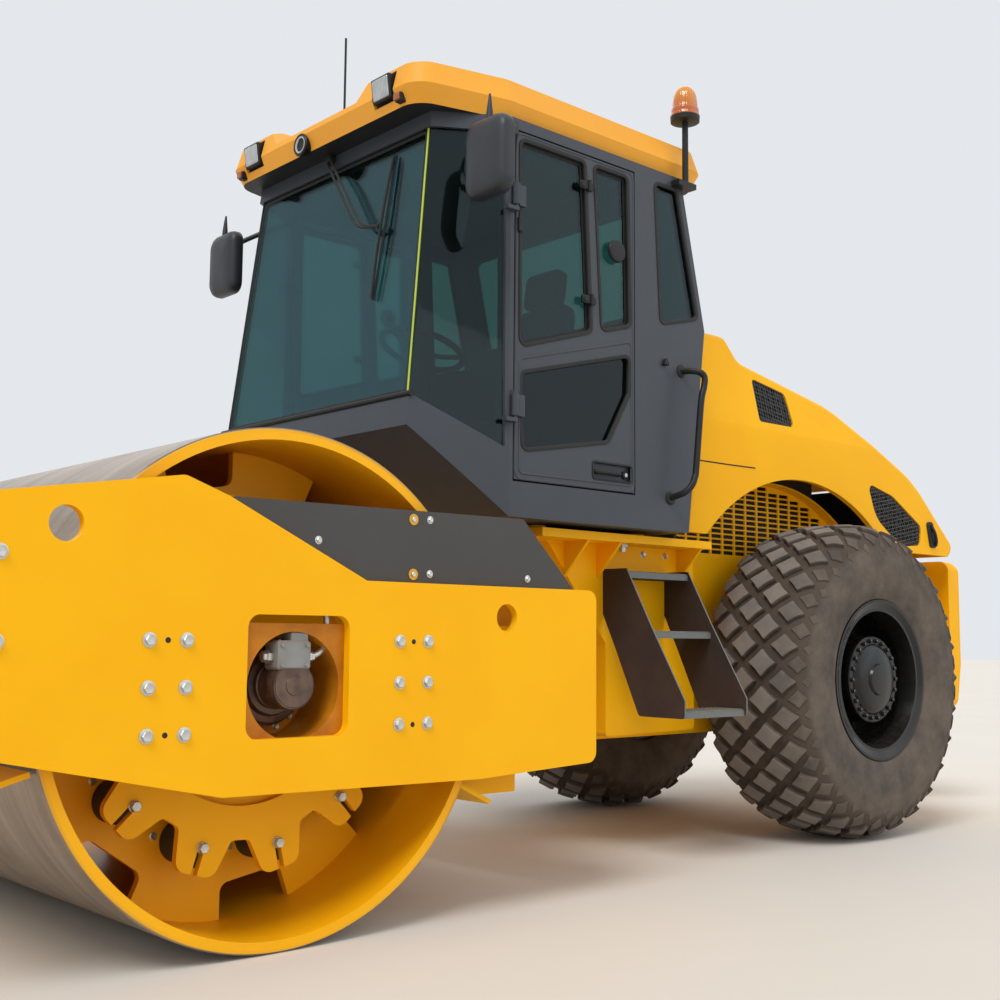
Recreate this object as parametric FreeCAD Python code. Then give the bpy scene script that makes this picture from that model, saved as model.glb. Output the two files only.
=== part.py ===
import FreeCAD, Part
import math
import os

# Single-drum roller. Millimetres. X forward, Y left, Z up. The front half is laid out from the drum's axle and
# the rear half from the rear axle; all is moved at the end so that the origin is on the ground in the middle.
Vec = FreeCAD.Vector

# Drum
drumRadius = 800
drumWidth = 2130
shellWall = 38
shellBevel = 6
webOffset = 700
webThick = 28
notchCount = 8
notchAngle = 35
notchHalfAngle = 10
notchInner = 650
notchCorner = 35
drumTubeRadius = 190

# Drive plates on rubber buffers
lobeCount = 12
lobeAngle = 17
lobeTip = 612
lobeValley = 492
lobeTipCorner = 42
lobeValleyCorner = 22
lobeBoltPitch = 520
lobeSlot = 22
drivePlateThick = 25
drivePlateFace = 850
drivePlateOpening = 385
centreLap = 20
bufferRadius = 68

# Travel motors
motorTubeRadius = 190
motorTubeWall = 25
motorTubeEnd = 900
motorEndThick = 20
motorPlate = (530, 190, 30)
motorPlateThick = 25
coverRadius = 125
coverDepth = 45
motorRadius = 72
portBlock = (110, 130, 70)
spindleRadius = 80
spindleLap = 45

# Front frame
plateThick = 30
plateGap = 42
frontBeamGap = 120
frontBeamDepth = 210
frontBeamWall = 30
frontBeamBottom = 700
frontBeamTop = 1480
frontBeamStep = 1290
frontBeamCrest = 1000
rearBeamGap = 300
rearBeamDepth = 200
beamBottom = 520
beamTop = 980
windowHalf = 183
windowHeight = 370
windowRise = 30
windowCorner = 40
frontHole = (751, 1249, 50)
rearHole = (-851, 1021, 48)
# side plate's outline between its two ends: x from the drum's axle, height, corner radius
plateTop = ((403, 1412, 40), (258, 1362, 0), (-247, 1129, 0))
plateBottom = ((-733, 474, 0), (253, 485, 0), (900, 621, 0))
plateFrontHeights = (1287, 690, 60)
plateRearHeights = (1129, 500, 40)
guardThick = 12
guardLap = 45
# guard's outline: x from the drum's axle, height, corner radius
guardTop = ((248, 1365, 8), (-953, 1376, 15), (-1206, 1134, 0))
guardFoot = -200

# Scrapers
scraperGap = 12
scraperReach = 150
scraperThick = 16
scraperInset = 25
scraperArmThick = 24
scraperArms = (-900, -300, 300, 900)
scraperFrontAngle = -16
scraperRearAngle = 206
scraperFrontSeat = 760
scraperRearSeat = 560

# Steering joint between the halves
pivotReach = 320
swivelZ = 750
trunnionRadius = 90
steerPinRadius = 45
runningFit = 0.05
blockHalfWidth = 150
blockBack = 80
blockFront = 120
blockBottom = 560
blockTop = 940
earThick = 60
earGap = 5
earRadius = 125
steerArm = 220
steerArmBack = 90
armThick = 24
armEnd = 50
cylinderZ = 680
cylinderLength = 780
barrelFrontGap = 275
rodLength = 436
boreSpare = 139
cylinderRadius = 45
rodRadius = 22
eyeRadius = 42
eyeThick = 40
eyePinRadius = 20
anchorThick = 24
seatFit = 0.3

# Rear frame, lengths along X measured forward from the rear axle unless they are sizes of their own
wheelBase = 3400
hitchLength = 280
chassisTail = 1480
chassisHalfWidth = 400
chassisBottom = 500
chassisTop = 1400
railThick = 30
deckFront = 1980
deckRear = 900
deckHalfWidth = 720
deckThick = 35
boxRear = 840
boxLength = 600
boxHalfWidth = 560
boxBottom = 525
boxShoulder = 930
boxNose = 1800
boxCorner = 20
gussets = (1700, 1500, 960)
gussetThick = 14
gussetDrop = 150
cabMounts = (1880, 1260)
cabMountRadius = 50
cabMountY = 560
bumperThick = 120
bumperHalfWidth = 580
bumperBottom = 560
bumperTop = 1425
bumperCorner = 60

# Wheels
tyreRadius = 765
lugHeight = 22
lugSink = 12
lugHalfLength = 45
lugHalfWidth = 53
lugsRound = 25
# lug rows: offset across the tread, phase in lug pitches, drop below the tyre's radius
lugRows = ((-216, 0.0, 14), (-108, 0.5, 0), (0, 0.0, 0), (108, 0.5, 0), (216, 0.0, 14))
# carcass beyond its flat crown: half width, depth below the crown
carcassSteps = ((270, 38), (288, 98), (293, 190), (284, 290), (262, 350))
crownHalf = 162
trackHalf = 775
beadRadius = 345
rimFlange = 375
rimWall = 14
rimLip = 12
rimHalfWidth = 235
rimBeadFit = 0.3
discOffset = -30
discThick = 20
hubRadius = 150
hubOut = 110
hubCapRadius = 95
hubCapOut = 30
axleTubeRadius = 110
axleCaseRadius = 205
axleCaseHalf = 190
finalDriveRadius = 165
finalDriveDepth = 120
stubRadius = 60

# Engine and hood, along X from the rear axle
engineSize = (1150, 620, 900)
engineFront = 650
engineBottom = 980
memberHeight = 60
hoodHalfWidth = 650
hoodTopHalf = 585
hoodCrease = 1990
hoodWall = 30
hoodBottom = 1445
hoodEdge = 40
hoodCreaseRadius = 150
# hood's side outline: from the axle, height, corner radius
hoodOutline = ((1000, 1445, 0), (860, 2440, 50), (610, 2440, 60), (520, 2325, 90), (-220, 2185, 900),
               (-1010, 1865, 900), (-1450, 1500, 60), (-1395, 1445, 0))
hoodHinge = (835, 2370)
hoodEar = 20
hoodPin = 12
hoodPinInner = 500
bulkheadFront = 950
bulkheadThick = 20
bulkheadHalf = 535
archCentre = (70, 665)
archRadius = 1100
# vents through the hood's sides: from the axle, height, corner radius
meshVent = ((444, 2249, 20), (176, 2204, 40), (127, 2032, 25), (419, 2030, 20))
tailVent = ((-525, 1806, 30), (-775, 1752, 120), (-1070, 1600, 40), (-1052, 1492, 35), (-845, 1474, 35),
            (-603, 1618, 200))
meshPitch = 42
meshSlot = 30
grilleIn = 10
grilleThick = 8
tailSlots = 7
tailSlotHalf = 330
tailSlotHeight = 14
tailSlotPitch = 34
tailSlotTop = 1845
# lattice panels beside the engine: columns and rows of slots
latticeThick = 8
latticeSlot = (80, 19)
latticePitch = (95, 27)
latticeEnds = (800, -660)
latticeMargin = 14
linerThick = 8
linerWidth = 60

# Cab, along X from the rear axle
cabBottom = 1420
cabTop = 3030
cabHalfWidth = 810
# rear edge of the cab's side: from the axle, height
cabRearEdge = ((1170, 1420), (1050, 2350), (1210, 3030))
cabCorner = 2250
cabFrontBottom = 2700
cabFrontTop = 2520
cabFrontHalfBottom = 706
cabFrontHalfTop = 634
cabWall = 42
glassIn = 12
glassThick = 8
floorThick = 60
noseHeight = 370
glassSill = 1868
glassTop = 2965
quarterRear = 2268
quarterSill = 1690
sealGap = 6
rearGlass = (620, 2480, 2940, 40)
# rear side pane and door panes: from the axle, height, corner radius
rearPane = ((1388, 2970, 25), (1238, 2970, 25), (1100, 2400, 25), (1352, 2335, 25))
doorFront = 2230
doorRear = 1520
doorBottom = 1560
doorTop = 2985
doorGap = 8
doorThick = 40
frontPane = ((2200, 2950, 30), (1830, 2950, 25), (1790, 2225, 30), (2195, 2100, 30))
sidePane = ((1775, 2950, 25), (1565, 2950, 25), (1550, 2290, 30), (1728, 2240, 25))
lowPane = ((2190, 1995, 30), (1554, 2160, 25), (1560, 1990, 30), (1690, 1770, 40), (2180, 1685, 30))
recess = (1780, 1545, 1611, 1680, 18)
hingePin = 8
hingeKnuckle = 15
hingeOut = 18
hingeX = 2235
hingeHeights = (1850, 2700)
hingeUp = 50
hingeDown = 35
hingeLeaf = 52

# Roof, along X from the rear axle; levels are height above the cab and inset from the widest outline
roofFront = 2658
roofRear = 1000
roofCorner = 2250
roofFrontHalf = 700
roofRearHalf = 800
roofRound = 110
roofLevels = ((0, 30), (70, 0), (165, 22), (195, 90))
dipHalf = 300
dipFlare = 90
dipHeight = 95
dipLength = 420
podY = 490
lampSize = (130, 110, 80)
lampFit = 5
lampOut = 4
lampRise = 92
lampSetBack = 22
lampTilt = 8
lensDeep = 8
lensRim = 9
beaconX = 1215
beaconY = 842
beaconRadius = 62
beaconHeight = 150
beaconTaper = 22
beaconBottom = 3305
cupHeight = 18
stalkRadius = 14
bracketTop = 3005
bracketThick = 25
bracketHalf = 60
antennaX = 2500
antennaTop = 3560
antennaRadius = 5
antennaFoot = 18

# Inside the cab, along X from the rear axle
seatFront = 1880
seatDepth = 500
seatHalf = 250
seatRise = 330
cushionThick = 120
backHeight = 640
backThick = 110
backLean = 120
headrest = (250, 190)
columnX = 2110
columnHeight = 720
columnWidth = 120
wheelRadius = 190
wheelGrip = 15
wheelTilt = 19.3
wheelRise = 760

# Mirrors, handrails and steps, along X from the rear axle
mirrorArmX = 2255
mirrorArmZ = 2990
mirrorArmRadius = 12
mirrorHead = (2500, 2540, 880, 1075, 2600, 2895)
mirrorRound = 45
# handrail's line: from the axle, distance from the middle, height
railPath = ((1340, 810, 2133), (1290, 905, 2133), (1165, 905, 2100), (1205, 905, 1745), (1283, 905, 1600),
            (1300, 810, 1575))
railRadius = 15
stepFront = 1450
stepRear = 1040
cheekThick = 8
# step treads: height, inner and outer distance from the middle
treads = ((1240, 560, 700), (980, 690, 830), (650, 850, 1010))
treadThick = 25
# step cheek's outline beyond the box: distance from the middle, height, corner radius
cheek = ((700, 1256, 12), (832, 1020, 25), (1022, 700, 15), (1022, 625, 20), (770, 625, 20), (640, 900, 60))
cheekTop = 1256
cheekFoot = 1060

drumHalf = drumWidth / 2
plateInner = drumHalf + plateGap
plateOuter = plateInner + plateThick
frontBeamBack = drumRadius + frontBeamGap
plateFront = frontBeamBack + frontBeamDepth + 30
beamFront = -drumRadius - rearBeamGap
plateRear = beamFront - rearBeamDepth
steerX = plateRear - pivotReach
wheelX = -wheelBase
chassisFront = steerX - hitchLength
chassisRear = wheelX - chassisTail
cylinderBackX = steerX - cylinderLength
eyeX = steerX - steerArmBack
crownRadius = tyreRadius - lugHeight
floorTop = cabBottom + floorThick
bodyShift = (-chassisRear + bumperThick - plateFront) / 2


def place(plane, a, b, c=0):
    """A point from its two in-plane values and its depth."""
    if plane == "xz":
        return Vec(a, c, b)
    if plane == "yz":
        return Vec(c, a, b)
    return Vec(a, b, c)


def outline(points, plane, depth):
    """A closed wire through points (a, b) or (a, b, radius), the radius rounding that corner."""
    corners = []
    for i, p in enumerate(points):
        here = place(plane, p[0], p[1], depth)
        radius = p[2] if len(p) > 2 else 0
        if not radius:
            corners.append((here,))
            continue
        before = place(plane, *points[i - 1][:2], depth)
        after = place(plane, *points[(i + 1) % len(points)][:2], depth)
        toBefore = (before - here).normalize()
        toAfter = (after - here).normalize()
        half = toBefore.getAngle(toAfter) / 2
        bisector = (toBefore + toAfter).normalize()
        start = here + toBefore * (radius / math.tan(half))
        end = here + toAfter * (radius / math.tan(half))
        middle = here + bisector * (radius / math.sin(half) - radius)
        corners.append((start, middle, end))
    edges = []
    for i, corner in enumerate(corners):
        if len(corner) == 3:
            edges.append(Part.Arc(*corner).toShape())
        following = corners[(i + 1) % len(corners)][0]
        if corner[-1].distanceToPoint(following) > 0.01:
            edges.append(Part.makeLine(corner[-1], following))
    return Part.Wire(edges)


def prism(points, plane, start, end):
    """The outline's solid between two depths."""
    along = {"xz": Vec(0, 1, 0), "yz": Vec(1, 0, 0), "xy": Vec(0, 0, 1)}[plane]
    return Part.Face(outline(points, plane, start)).extrude(along * (end - start))


def fromAxle(points):
    """The same outline moved so that its first values count from the rear axle."""
    return [(wheelX + p[0],) + tuple(p[1:]) for p in points]


def block(x0, x1, y0, y1, z0, z1):
    return Part.makeBox(abs(x1 - x0), abs(y1 - y0), abs(z1 - z0), Vec(min(x0, x1), min(y0, y1), min(z0, z1)))


def rod(axis, radius, start, end, a, b):
    """A round bar along an axis, from start to end, at the two other coordinates a and b."""
    base, along = {
        "x": (Vec(start, a, b), Vec(1, 0, 0)),
        "y": (Vec(a, start, b), Vec(0, 1, 0)),
        "z": (Vec(a, b, start), Vec(0, 0, 1)),
    }[axis]
    length = end - start
    if length < 0:
        along = along * -1
        length = -length
    return Part.makeCylinder(radius, length, base, along)


def tube(points, radius):
    """A round bar through points, with a ball at each bend."""
    parts = []
    for a, b in zip(points[:-1], points[1:]):
        run = b - a
        parts.append(Part.makeCylinder(radius, run.Length, a, run))
    parts += [Part.makeSphere(radius, p) for p in points[1:-1]]
    return joined(parts)


def joined(shapes):
    shape = shapes[0]
    if len(shapes) > 1:
        shape = shape.fuse(shapes[1:])
    return shape.removeSplitter()


def mirrored(shape):
    """The same piece on the machine's right side."""
    return shape.mirror(Vec(0, 0, 0), Vec(0, 1, 0))


def pair(shape):
    return Part.makeCompound([shape, mirrored(shape)])


def ring(profile, x, z):
    """A solid turned about the cross axis through x, z, from points (y, radius)."""
    wire = Part.makePolygon([Vec(x, y, z + r) for y, r in profile] + [Vec(x, profile[0][0], z + profile[0][1])])
    return Part.Face(wire).revolve(Vec(x, 0, z), Vec(0, 1, 0), 360)


def around(radius, degrees):
    """A point on a circle about the drum's axle, as x and z."""
    angle = math.radians(degrees)
    return radius * math.cos(angle), drumRadius + radius * math.sin(angle)


def makeDrum():
    inner = drumRadius - shellWall
    shell = ring([(-drumHalf, drumRadius - shellBevel), (-drumHalf + shellBevel, drumRadius),
                  (drumHalf - shellBevel, drumRadius), (drumHalf, drumRadius - shellBevel),
                  (drumHalf, inner), (-drumHalf, inner)], 0, drumRadius)
    parts = [shell, rod("y", drumTubeRadius, -webOffset, webOffset, 0, drumRadius)]
    for side in (-1, 1):
        web = rod("y", inner, side * (webOffset - webThick), side * webOffset, 0, drumRadius)
        notches = []
        for i in range(notchCount):
            middle = notchAngle + i * 360 / notchCount
            edge = (middle - notchHalfAngle, middle + notchHalfAngle)
            corners = [around(notchInner, a) + (notchCorner,) for a in edge]
            corners += [around(drumRadius, a) for a in reversed(edge)]
            notches.append(prism(corners, "xz", side * (webOffset - 2 * webThick), side * (webOffset + webThick)))
        parts.append(web.cut(notches))
    return joined(parts)


def lobedOutline():
    """The drive plate's scalloped edge: rounded tips between rounded valleys."""
    points = []
    half = 180 / lobeCount
    tipSpread = half * 0.42
    valleySpread = half * 0.25
    for i in range(lobeCount):
        centre = lobeAngle + i * 2 * half
        for spread in (-tipSpread, tipSpread):
            points.append(around(lobeTip, centre + spread) + (lobeTipCorner,))
        for spread in (-valleySpread, valleySpread):
            points.append(around(lobeValley, centre + half + spread) + (lobeValleyCorner,))
    return points


def makeDrivePlate():
    """Lobed plate, slotted at each lobe, with a set-back centre that turns on the motor's spindle."""
    back = drivePlateFace - drivePlateThick
    lobed = prism(lobedOutline(), "xz", back, drivePlateFace)
    cuts = [rod("y", drivePlateOpening, back - 1, drivePlateFace + 1, 0, drumRadius)]
    for i in range(lobeCount):
        slot = block(lobeBoltPitch, drumRadius, back - 1, drivePlateFace + 1, -lobeSlot / 2, lobeSlot / 2)
        slot.rotate(Vec(0, 0, 0), Vec(0, -1, 0), lobeAngle + i * 360 / lobeCount)
        slot.translate(Vec(0, 0, drumRadius))
        cuts.append(slot)
    centre = rod("y", drivePlateOpening + centreLap, back - drivePlateThick, back, 0, drumRadius)
    bore = rod("y", spindleRadius + runningFit, back - 2 * drivePlateThick, back + 1, 0, drumRadius)
    return joined([lobed.cut(cuts), centre]).cut(bore)


def makeBuffers():
    """Rubber buffers between the drive plates and the drum's webs."""
    solids = []
    for side in (-1, 1):
        for i in range(lobeCount):
            x, z = around(lobeBoltPitch, lobeAngle + i * 360 / lobeCount)
            solids.append(rod("y", bufferRadius, side * webOffset, side * (drivePlateFace - drivePlateThick), x, z))
    return Part.makeCompound(solids)


def makeMotor():
    """Travel motor: mounting plate on the side plate, tube, cover, motor with its port block, and spindle."""
    half, height, corner = motorPlate
    back = plateInner - motorPlateThick
    inner = motorTubeRadius - motorTubeWall
    floor = motorTubeEnd + motorEndThick
    plate = prism([(-half, drumRadius - height, corner), (half, drumRadius - height, corner),
                   (half, drumRadius + height, corner), (-half, drumRadius + height, corner)],
                  "xz", back, plateInner)
    plate = plate.cut(rod("y", inner, back - 1, plateInner + 1, 0, drumRadius))
    housing = rod("y", motorTubeRadius, motorTubeEnd, back, 0, drumRadius)
    housing = housing.cut(rod("y", inner, floor, plateInner, 0, drumRadius))
    cover = rod("y", coverRadius, floor, floor + coverDepth, 0, drumRadius)
    motor = rod("y", motorRadius, floor + coverDepth, plateInner, 0, drumRadius)
    length, height, depth = portBlock
    ports = block(-length / 2, length / 2, plateInner - depth, plateInner, drumRadius, drumRadius + height)
    back = drivePlateFace - drivePlateThick
    spindle = rod("y", spindleRadius, back - spindleLap, motorTubeEnd, 0, drumRadius)
    return joined([plate, housing, cover, motor, ports, spindle])


def makeSidePlate():
    high, low, corner = plateFrontHeights
    rearHigh, rearLow, rearCorner = plateRearHeights
    points = [(plateFront, high, corner)] + list(plateTop) + [(plateRear, rearHigh, rearCorner)]
    points += [(plateRear, rearLow, rearCorner)] + list(plateBottom) + [(plateFront, low, corner)]
    plate = prism(points, "xz", plateInner, plateOuter)
    foot = drumRadius + windowRise - windowHeight / 2
    top = foot + windowHeight
    window = prism([(-windowHalf, foot, windowCorner), (windowHalf, foot, windowCorner),
                    (windowHalf, top, windowCorner), (-windowHalf, top, windowCorner)],
                   "xz", plateInner - 1, plateOuter + 1)
    holes = [rod("y", r, plateInner - 1, plateOuter + 1, x, z) for x, z, r in (frontHole, rearHole)]
    return plate.cut([window] + holes)


def makeGuard():
    """Dark plate on the side plate's inner face, above its low rear part."""
    foot = plateRearHeights[0] - guardLap
    points = list(guardTop) + [(guardTop[-1][0], foot), (guardFoot, foot)]
    return prism(points, "xz", plateInner - guardThick, plateInner)


def makeFrontBeam():
    """Hollow beam across the front, its back face leaning away from the drum above the step."""
    front = plateFront - 30
    crest = max(frontBeamCrest, frontBeamBack + 2 * frontBeamWall)
    beam = prism([(frontBeamBack, frontBeamBottom), (front, frontBeamBottom, 40), (front, frontBeamTop, 40),
                  (crest, frontBeamTop), (frontBeamBack, frontBeamStep)], "xz", -plateInner, plateInner)
    hollow = block(frontBeamBack + frontBeamWall, front - frontBeamWall, -plateInner + frontBeamWall,
                   plateInner - frontBeamWall, frontBeamBottom + frontBeamWall, frontBeamStep - frontBeamWall)
    return beam.cut(hollow)


def makeRearBeam():
    """Beam with the bearing that the trunnion turns in."""
    beam = prism([(plateRear, beamBottom, 30), (beamFront, beamBottom, 30), (beamFront, beamTop, 30),
                  (plateRear, beamTop, 30)], "xz", -plateInner, plateInner)
    boss = rod("x", trunnionRadius * 2, plateRear, beamFront + 15, 0, swivelZ)
    bore = rod("x", trunnionRadius + runningFit, plateRear - 1, beamFront + 16, 0, swivelZ)
    return joined([beam, boss]).cut(bore)


def makeScraper(angle, carrierX, carrierZ):
    """A blade that points at the drum's axle, on arms from the beam."""
    inner = drumRadius + scraperGap
    half = drumHalf - scraperInset
    blade = block(inner, inner + scraperReach, -half, half, -scraperThick / 2, scraperThick / 2)
    blade.rotate(Vec(0, 0, 0), Vec(0, -1, 0), angle)
    blade.translate(Vec(0, 0, drumRadius))
    tipX, tipZ = around(inner + scraperReach - 20, angle)
    arms = []
    for y in scraperArms:
        arms.append(block(tipX, carrierX, y - scraperArmThick / 2, y + scraperArmThick / 2,
                          min(tipZ, carrierZ), max(tipZ, carrierZ)))
    return joined([blade] + arms)


def makeSteerBlock():
    """Block on the steering pins, its forward trunnion and the steering arms."""
    front = steerX + blockFront
    body = block(steerX - blockBack, front, -blockHalfWidth, blockHalfWidth, blockBottom, blockTop)
    trunnion = rod("x", trunnionRadius, front, beamFront - 5, 0, swivelZ)
    collar = rod("x", trunnionRadius + 40, front, plateRear - 10, 0, swivelZ)
    pins = rod("z", steerPinRadius, blockBottom - earGap - earThick, blockTop + earGap + earThick, steerX, 0)
    arms = []
    for z in (cylinderZ - eyeThick / 2 - 30, cylinderZ + eyeThick / 2 + 6):
        plate = [(eyeX - armEnd, -steerArm - armEnd, 40), (steerX + 20, -steerArm - armEnd, 40),
                 (steerX + 20, steerArm + armEnd, 40), (eyeX - armEnd, steerArm + armEnd, 40)]
        arms.append(prism(plate, "xy", z, z + armThick))
    return joined([body, trunnion, collar, pins] + arms)


def makeBarrel():
    """Cylinder barrel with its gland, and its eye on the anchor's pin."""
    front = steerX - barrelFrontGap
    boreBack = eyeX - rodLength - boreSpare
    tube = rod("x", cylinderRadius, cylinderBackX + eyeRadius - 7, front, steerArm, cylinderZ)
    gland = rod("x", cylinderRadius + 8, front - 60, front, steerArm, cylinderZ)
    eye = rod("z", eyeRadius, cylinderZ - eyeThick / 2, cylinderZ + eyeThick / 2, cylinderBackX, steerArm)
    bore = rod("x", rodRadius + runningFit, boreBack, front + 10, steerArm, cylinderZ)
    hole = rod("z", eyePinRadius + runningFit, cylinderZ - eyeThick, cylinderZ + eyeThick, cylinderBackX, steerArm)
    return joined([tube, gland, eye]).cut([bore, hole])


def makeRod():
    """Piston rod and its eye between the steering arm's plates."""
    bar = rod("x", rodRadius, eyeX - rodLength, eyeX - 30, steerArm, cylinderZ)
    eye = rod("z", eyeRadius, cylinderZ - eyeThick / 2, cylinderZ + eyeThick / 2, eyeX, steerArm)
    hole = rod("z", eyePinRadius, cylinderZ - eyeThick, cylinderZ + eyeThick, eyeX, steerArm)
    return joined([bar, eye]).cut(hole)


def makeAnchor():
    """Bracket and pin that hold a steering cylinder's back eye."""
    foot = cylinderZ - eyeThick / 2 - seatFit
    bracket = block(cylinderBackX - 60, cylinderBackX + 25, steerArm - armEnd, chassisHalfWidth - railThick,
                    foot - anchorThick, foot)
    pin = rod("z", eyePinRadius, foot, cylinderZ + eyeThick / 2 + 20, cylinderBackX, steerArm)
    return joined([bracket, pin])


def makeChassis():
    """Rails, floor, front wall, cab deck with gussets, side boxes, engine members and the hitch's ears."""
    deckUnder = chassisTop - deckThick
    parts = [block(chassisFront, chassisRear, -chassisHalfWidth, chassisHalfWidth,
                   chassisBottom, chassisBottom + railThick),
             block(chassisFront, chassisFront - railThick, -chassisHalfWidth, chassisHalfWidth,
                   chassisBottom, deckUnder),
             block(wheelX + deckFront, wheelX + deckRear, -deckHalfWidth, deckHalfWidth, deckUnder, chassisTop)]
    for side in (-1, 1):
        parts.append(block(chassisFront, chassisRear, side * (chassisHalfWidth - railThick),
                           side * chassisHalfWidth, chassisBottom, deckUnder))
        parts.append(sideBox(side))
        parts += [rod("z", cabMountRadius, chassisTop, cabBottom, wheelX + a, side * cabMountY) for a in cabMounts]
    parts += engineMembers() + deckGussets()
    for z in (blockBottom - earGap - earThick, blockTop + earGap):
        parts.append(joined([block(chassisFront, steerX, -earRadius, earRadius, z, z + earThick),
                             rod("z", earRadius, z, z + earThick, steerX, 0)]))
    shape = joined(parts)
    reach = steerArm + 125
    opening = block(chassisFront - railThick - 1, chassisFront + 1, -reach, reach, cylinderZ - 90, cylinderZ + 90)
    pinHole = rod("z", steerPinRadius + runningFit, chassisBottom - earThick - earGap, blockTop + 200, steerX, 0)
    axleHole = rod("y", axleTubeRadius, -chassisHalfWidth - 1, chassisHalfWidth + 1, wheelX, tyreRadius)
    return shape.cut([opening, pinHole, axleHole])


def sideBox(side):
    """Box beside the chassis under the deck, which carries the steps, its front edge raked."""
    rear = wheelX + boxRear
    under = chassisTop - deckThick
    box = prism([(rear + boxLength, boxBottom, boxCorner), (rear, boxBottom + 10, boxCorner), (rear, under),
                 (wheelX + boxNose, under), (rear + boxLength, boxShoulder)], "xz", chassisHalfWidth, boxHalfWidth)
    return box if side > 0 else mirrored(box)


def deckGussets():
    """Triangles under the deck's overhang."""
    under = chassisTop - deckThick
    shapes = []
    for a in gussets:
        gusset = prism([(boxHalfWidth, under), (deckHalfWidth - 15, under), (boxHalfWidth, under - gussetDrop)],
                       "yz", wheelX + a, wheelX + a - gussetThick)
        shapes += [gusset, mirrored(gusset)]
    return shapes


def makeBumper():
    """Counterweight behind the chassis, its lower edge cut back."""
    front = chassisRear
    back = chassisRear - bumperThick
    slab = prism([(front, bumperBottom), (back + 50, bumperBottom), (back, bumperBottom + 260),
                  (back, bumperTop - 60, 30), (back + 40, bumperTop, 20), (front, bumperTop)],
                 "xz", -bumperHalfWidth, bumperHalfWidth)
    face = prism([(-bumperHalfWidth, bumperBottom, bumperCorner), (bumperHalfWidth, bumperBottom, bumperCorner),
                  (bumperHalfWidth, bumperTop, bumperCorner), (-bumperHalfWidth, bumperTop, bumperCorner)],
                 "yz", back - 1, front + 1)
    return slab.common(face)


def makeAxle():
    """Axle tube, differential case, final drives and the stubs that the wheels turn on."""
    inner = trackHalf + discOffset - 60
    halfTube = ring([(0, 0), (0, axleCaseRadius), (axleCaseHalf * 0.45, axleCaseRadius),
                     (axleCaseHalf, axleTubeRadius), (inner - finalDriveDepth - 60, axleTubeRadius),
                     (inner - finalDriveDepth, finalDriveRadius), (inner - 12, finalDriveRadius),
                     (inner - 12, stubRadius), (trackHalf + hubOut - 25, stubRadius),
                     (trackHalf + hubOut - 25, 0)], wheelX, tyreRadius)
    return joined([halfTube, mirrored(halfTube)])


def makeRim():
    """Deep rim with its disc, hub and cap, bored for the axle's stub."""
    y = trackHalf
    half = rimHalfWidth
    well = beadRadius - rimWall
    outer = half + rimWall
    barrel = ring([(y - half, beadRadius), (y + half, beadRadius), (y + half, rimFlange),
                   (y + outer, rimFlange + rimLip), (y + outer + rimLip, rimFlange + rimLip),
                   (y + outer + rimLip, rimFlange), (y + outer, well + rimWall), (y + outer, well),
                   (y + half - 60, well - 20), (y - half + 60, well - 20), (y - outer, well),
                   (y - outer, rimFlange), (y - half, rimFlange)], wheelX, tyreRadius)
    discBack = y + discOffset
    disc = rod("y", well - 19, discBack, discBack + discThick, wheelX, tyreRadius)
    hub = ring([(discBack - 60, stubRadius), (discBack - 60, hubRadius), (discBack + 70, hubRadius),
                (discBack + 95, hubRadius - 30), (y + hubOut, hubRadius - 30), (y + hubOut, hubCapRadius),
                (y + hubOut + hubCapOut, hubCapRadius - 15), (y + hubOut + hubCapOut, 0),
                (y + hubOut - 20, 0), (y + hubOut - 20, stubRadius)], wheelX, tyreRadius)
    bore = rod("y", stubRadius + runningFit, discBack - 61, y + hubOut - 20, wheelX, tyreRadius)
    return joined([barrel, disc, hub]).cut(bore)


def makeTyre():
    """A ring of flats, two to each lug pitch, whose crown carries staggered diamond lugs."""
    flats = 2 * lugsRound
    widen = 1 / math.cos(math.pi / flats)
    bead = beadRadius + rimBeadFit
    half = [(crownHalf, crownRadius)] + [(y, crownRadius - depth) for y, depth in carcassSteps]
    half += [(rimHalfWidth - rimBeadFit, half[-1][1]), (rimHalfWidth - rimBeadFit, bead)]
    profile = [(y, r * widen) for y, r in half] + [(-y, r * widen) for y, r in reversed(half)]

    def corner(step, point):
        angle = 2 * math.pi * (step + 0.5) / flats
        y, radius = point
        return Vec(wheelX + radius * math.sin(angle), trackHalf + y, tyreRadius - radius * math.cos(angle))

    faces = []
    for step in range(flats):
        for a, b in zip(profile, profile[1:] + profile[:1]):
            corners = [corner(step, a), corner(step + 1, a), corner(step + 1, b), corner(step, b)]
            faces.append(Part.Face(Part.makePolygon(corners + corners[:1])))
    carcass = Part.Solid(Part.Shell(faces))
    if carcass.Volume < 0:
        carcass.reverse()
    lugs = []
    for offset, phase, drop in lugRows:
        for i in range(lugsRound):
            diamond = [(-lugHalfLength, 0), (0, lugHalfWidth), (lugHalfLength, 0), (0, -lugHalfWidth)]
            lug = prism(diamond, "xy", crownRadius - 2 * lugSink - drop, tyreRadius - drop)
            lug.translate(Vec(0, offset, 0))
            lug.rotate(Vec(0, 0, 0), Vec(0, 1, 0), 180 + (i + phase) * 360 / lugsRound)
            lug.translate(Vec(wheelX, trackHalf, tyreRadius))
            lugs.append(lug)
    return carcass.fuse(lugs)


def makeEngine():
    length, width, height = engineSize
    front = wheelX + engineFront
    return block(front, front - length, -width / 2, width / 2, engineBottom, engineBottom + height)


def engineMembers():
    """Cross members that the engine stands on."""
    front = wheelX + engineFront
    inner = chassisHalfWidth - railThick
    return [block(x, x - 80, -inner, inner, engineBottom - memberHeight, engineBottom)
            for x in (front - 60, front - engineSize[0] + 140)]


def inwards(face, inset):
    """The face drawn in by inset all round."""
    return face.makeOffset2D(-inset, 2) if inset else face


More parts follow.
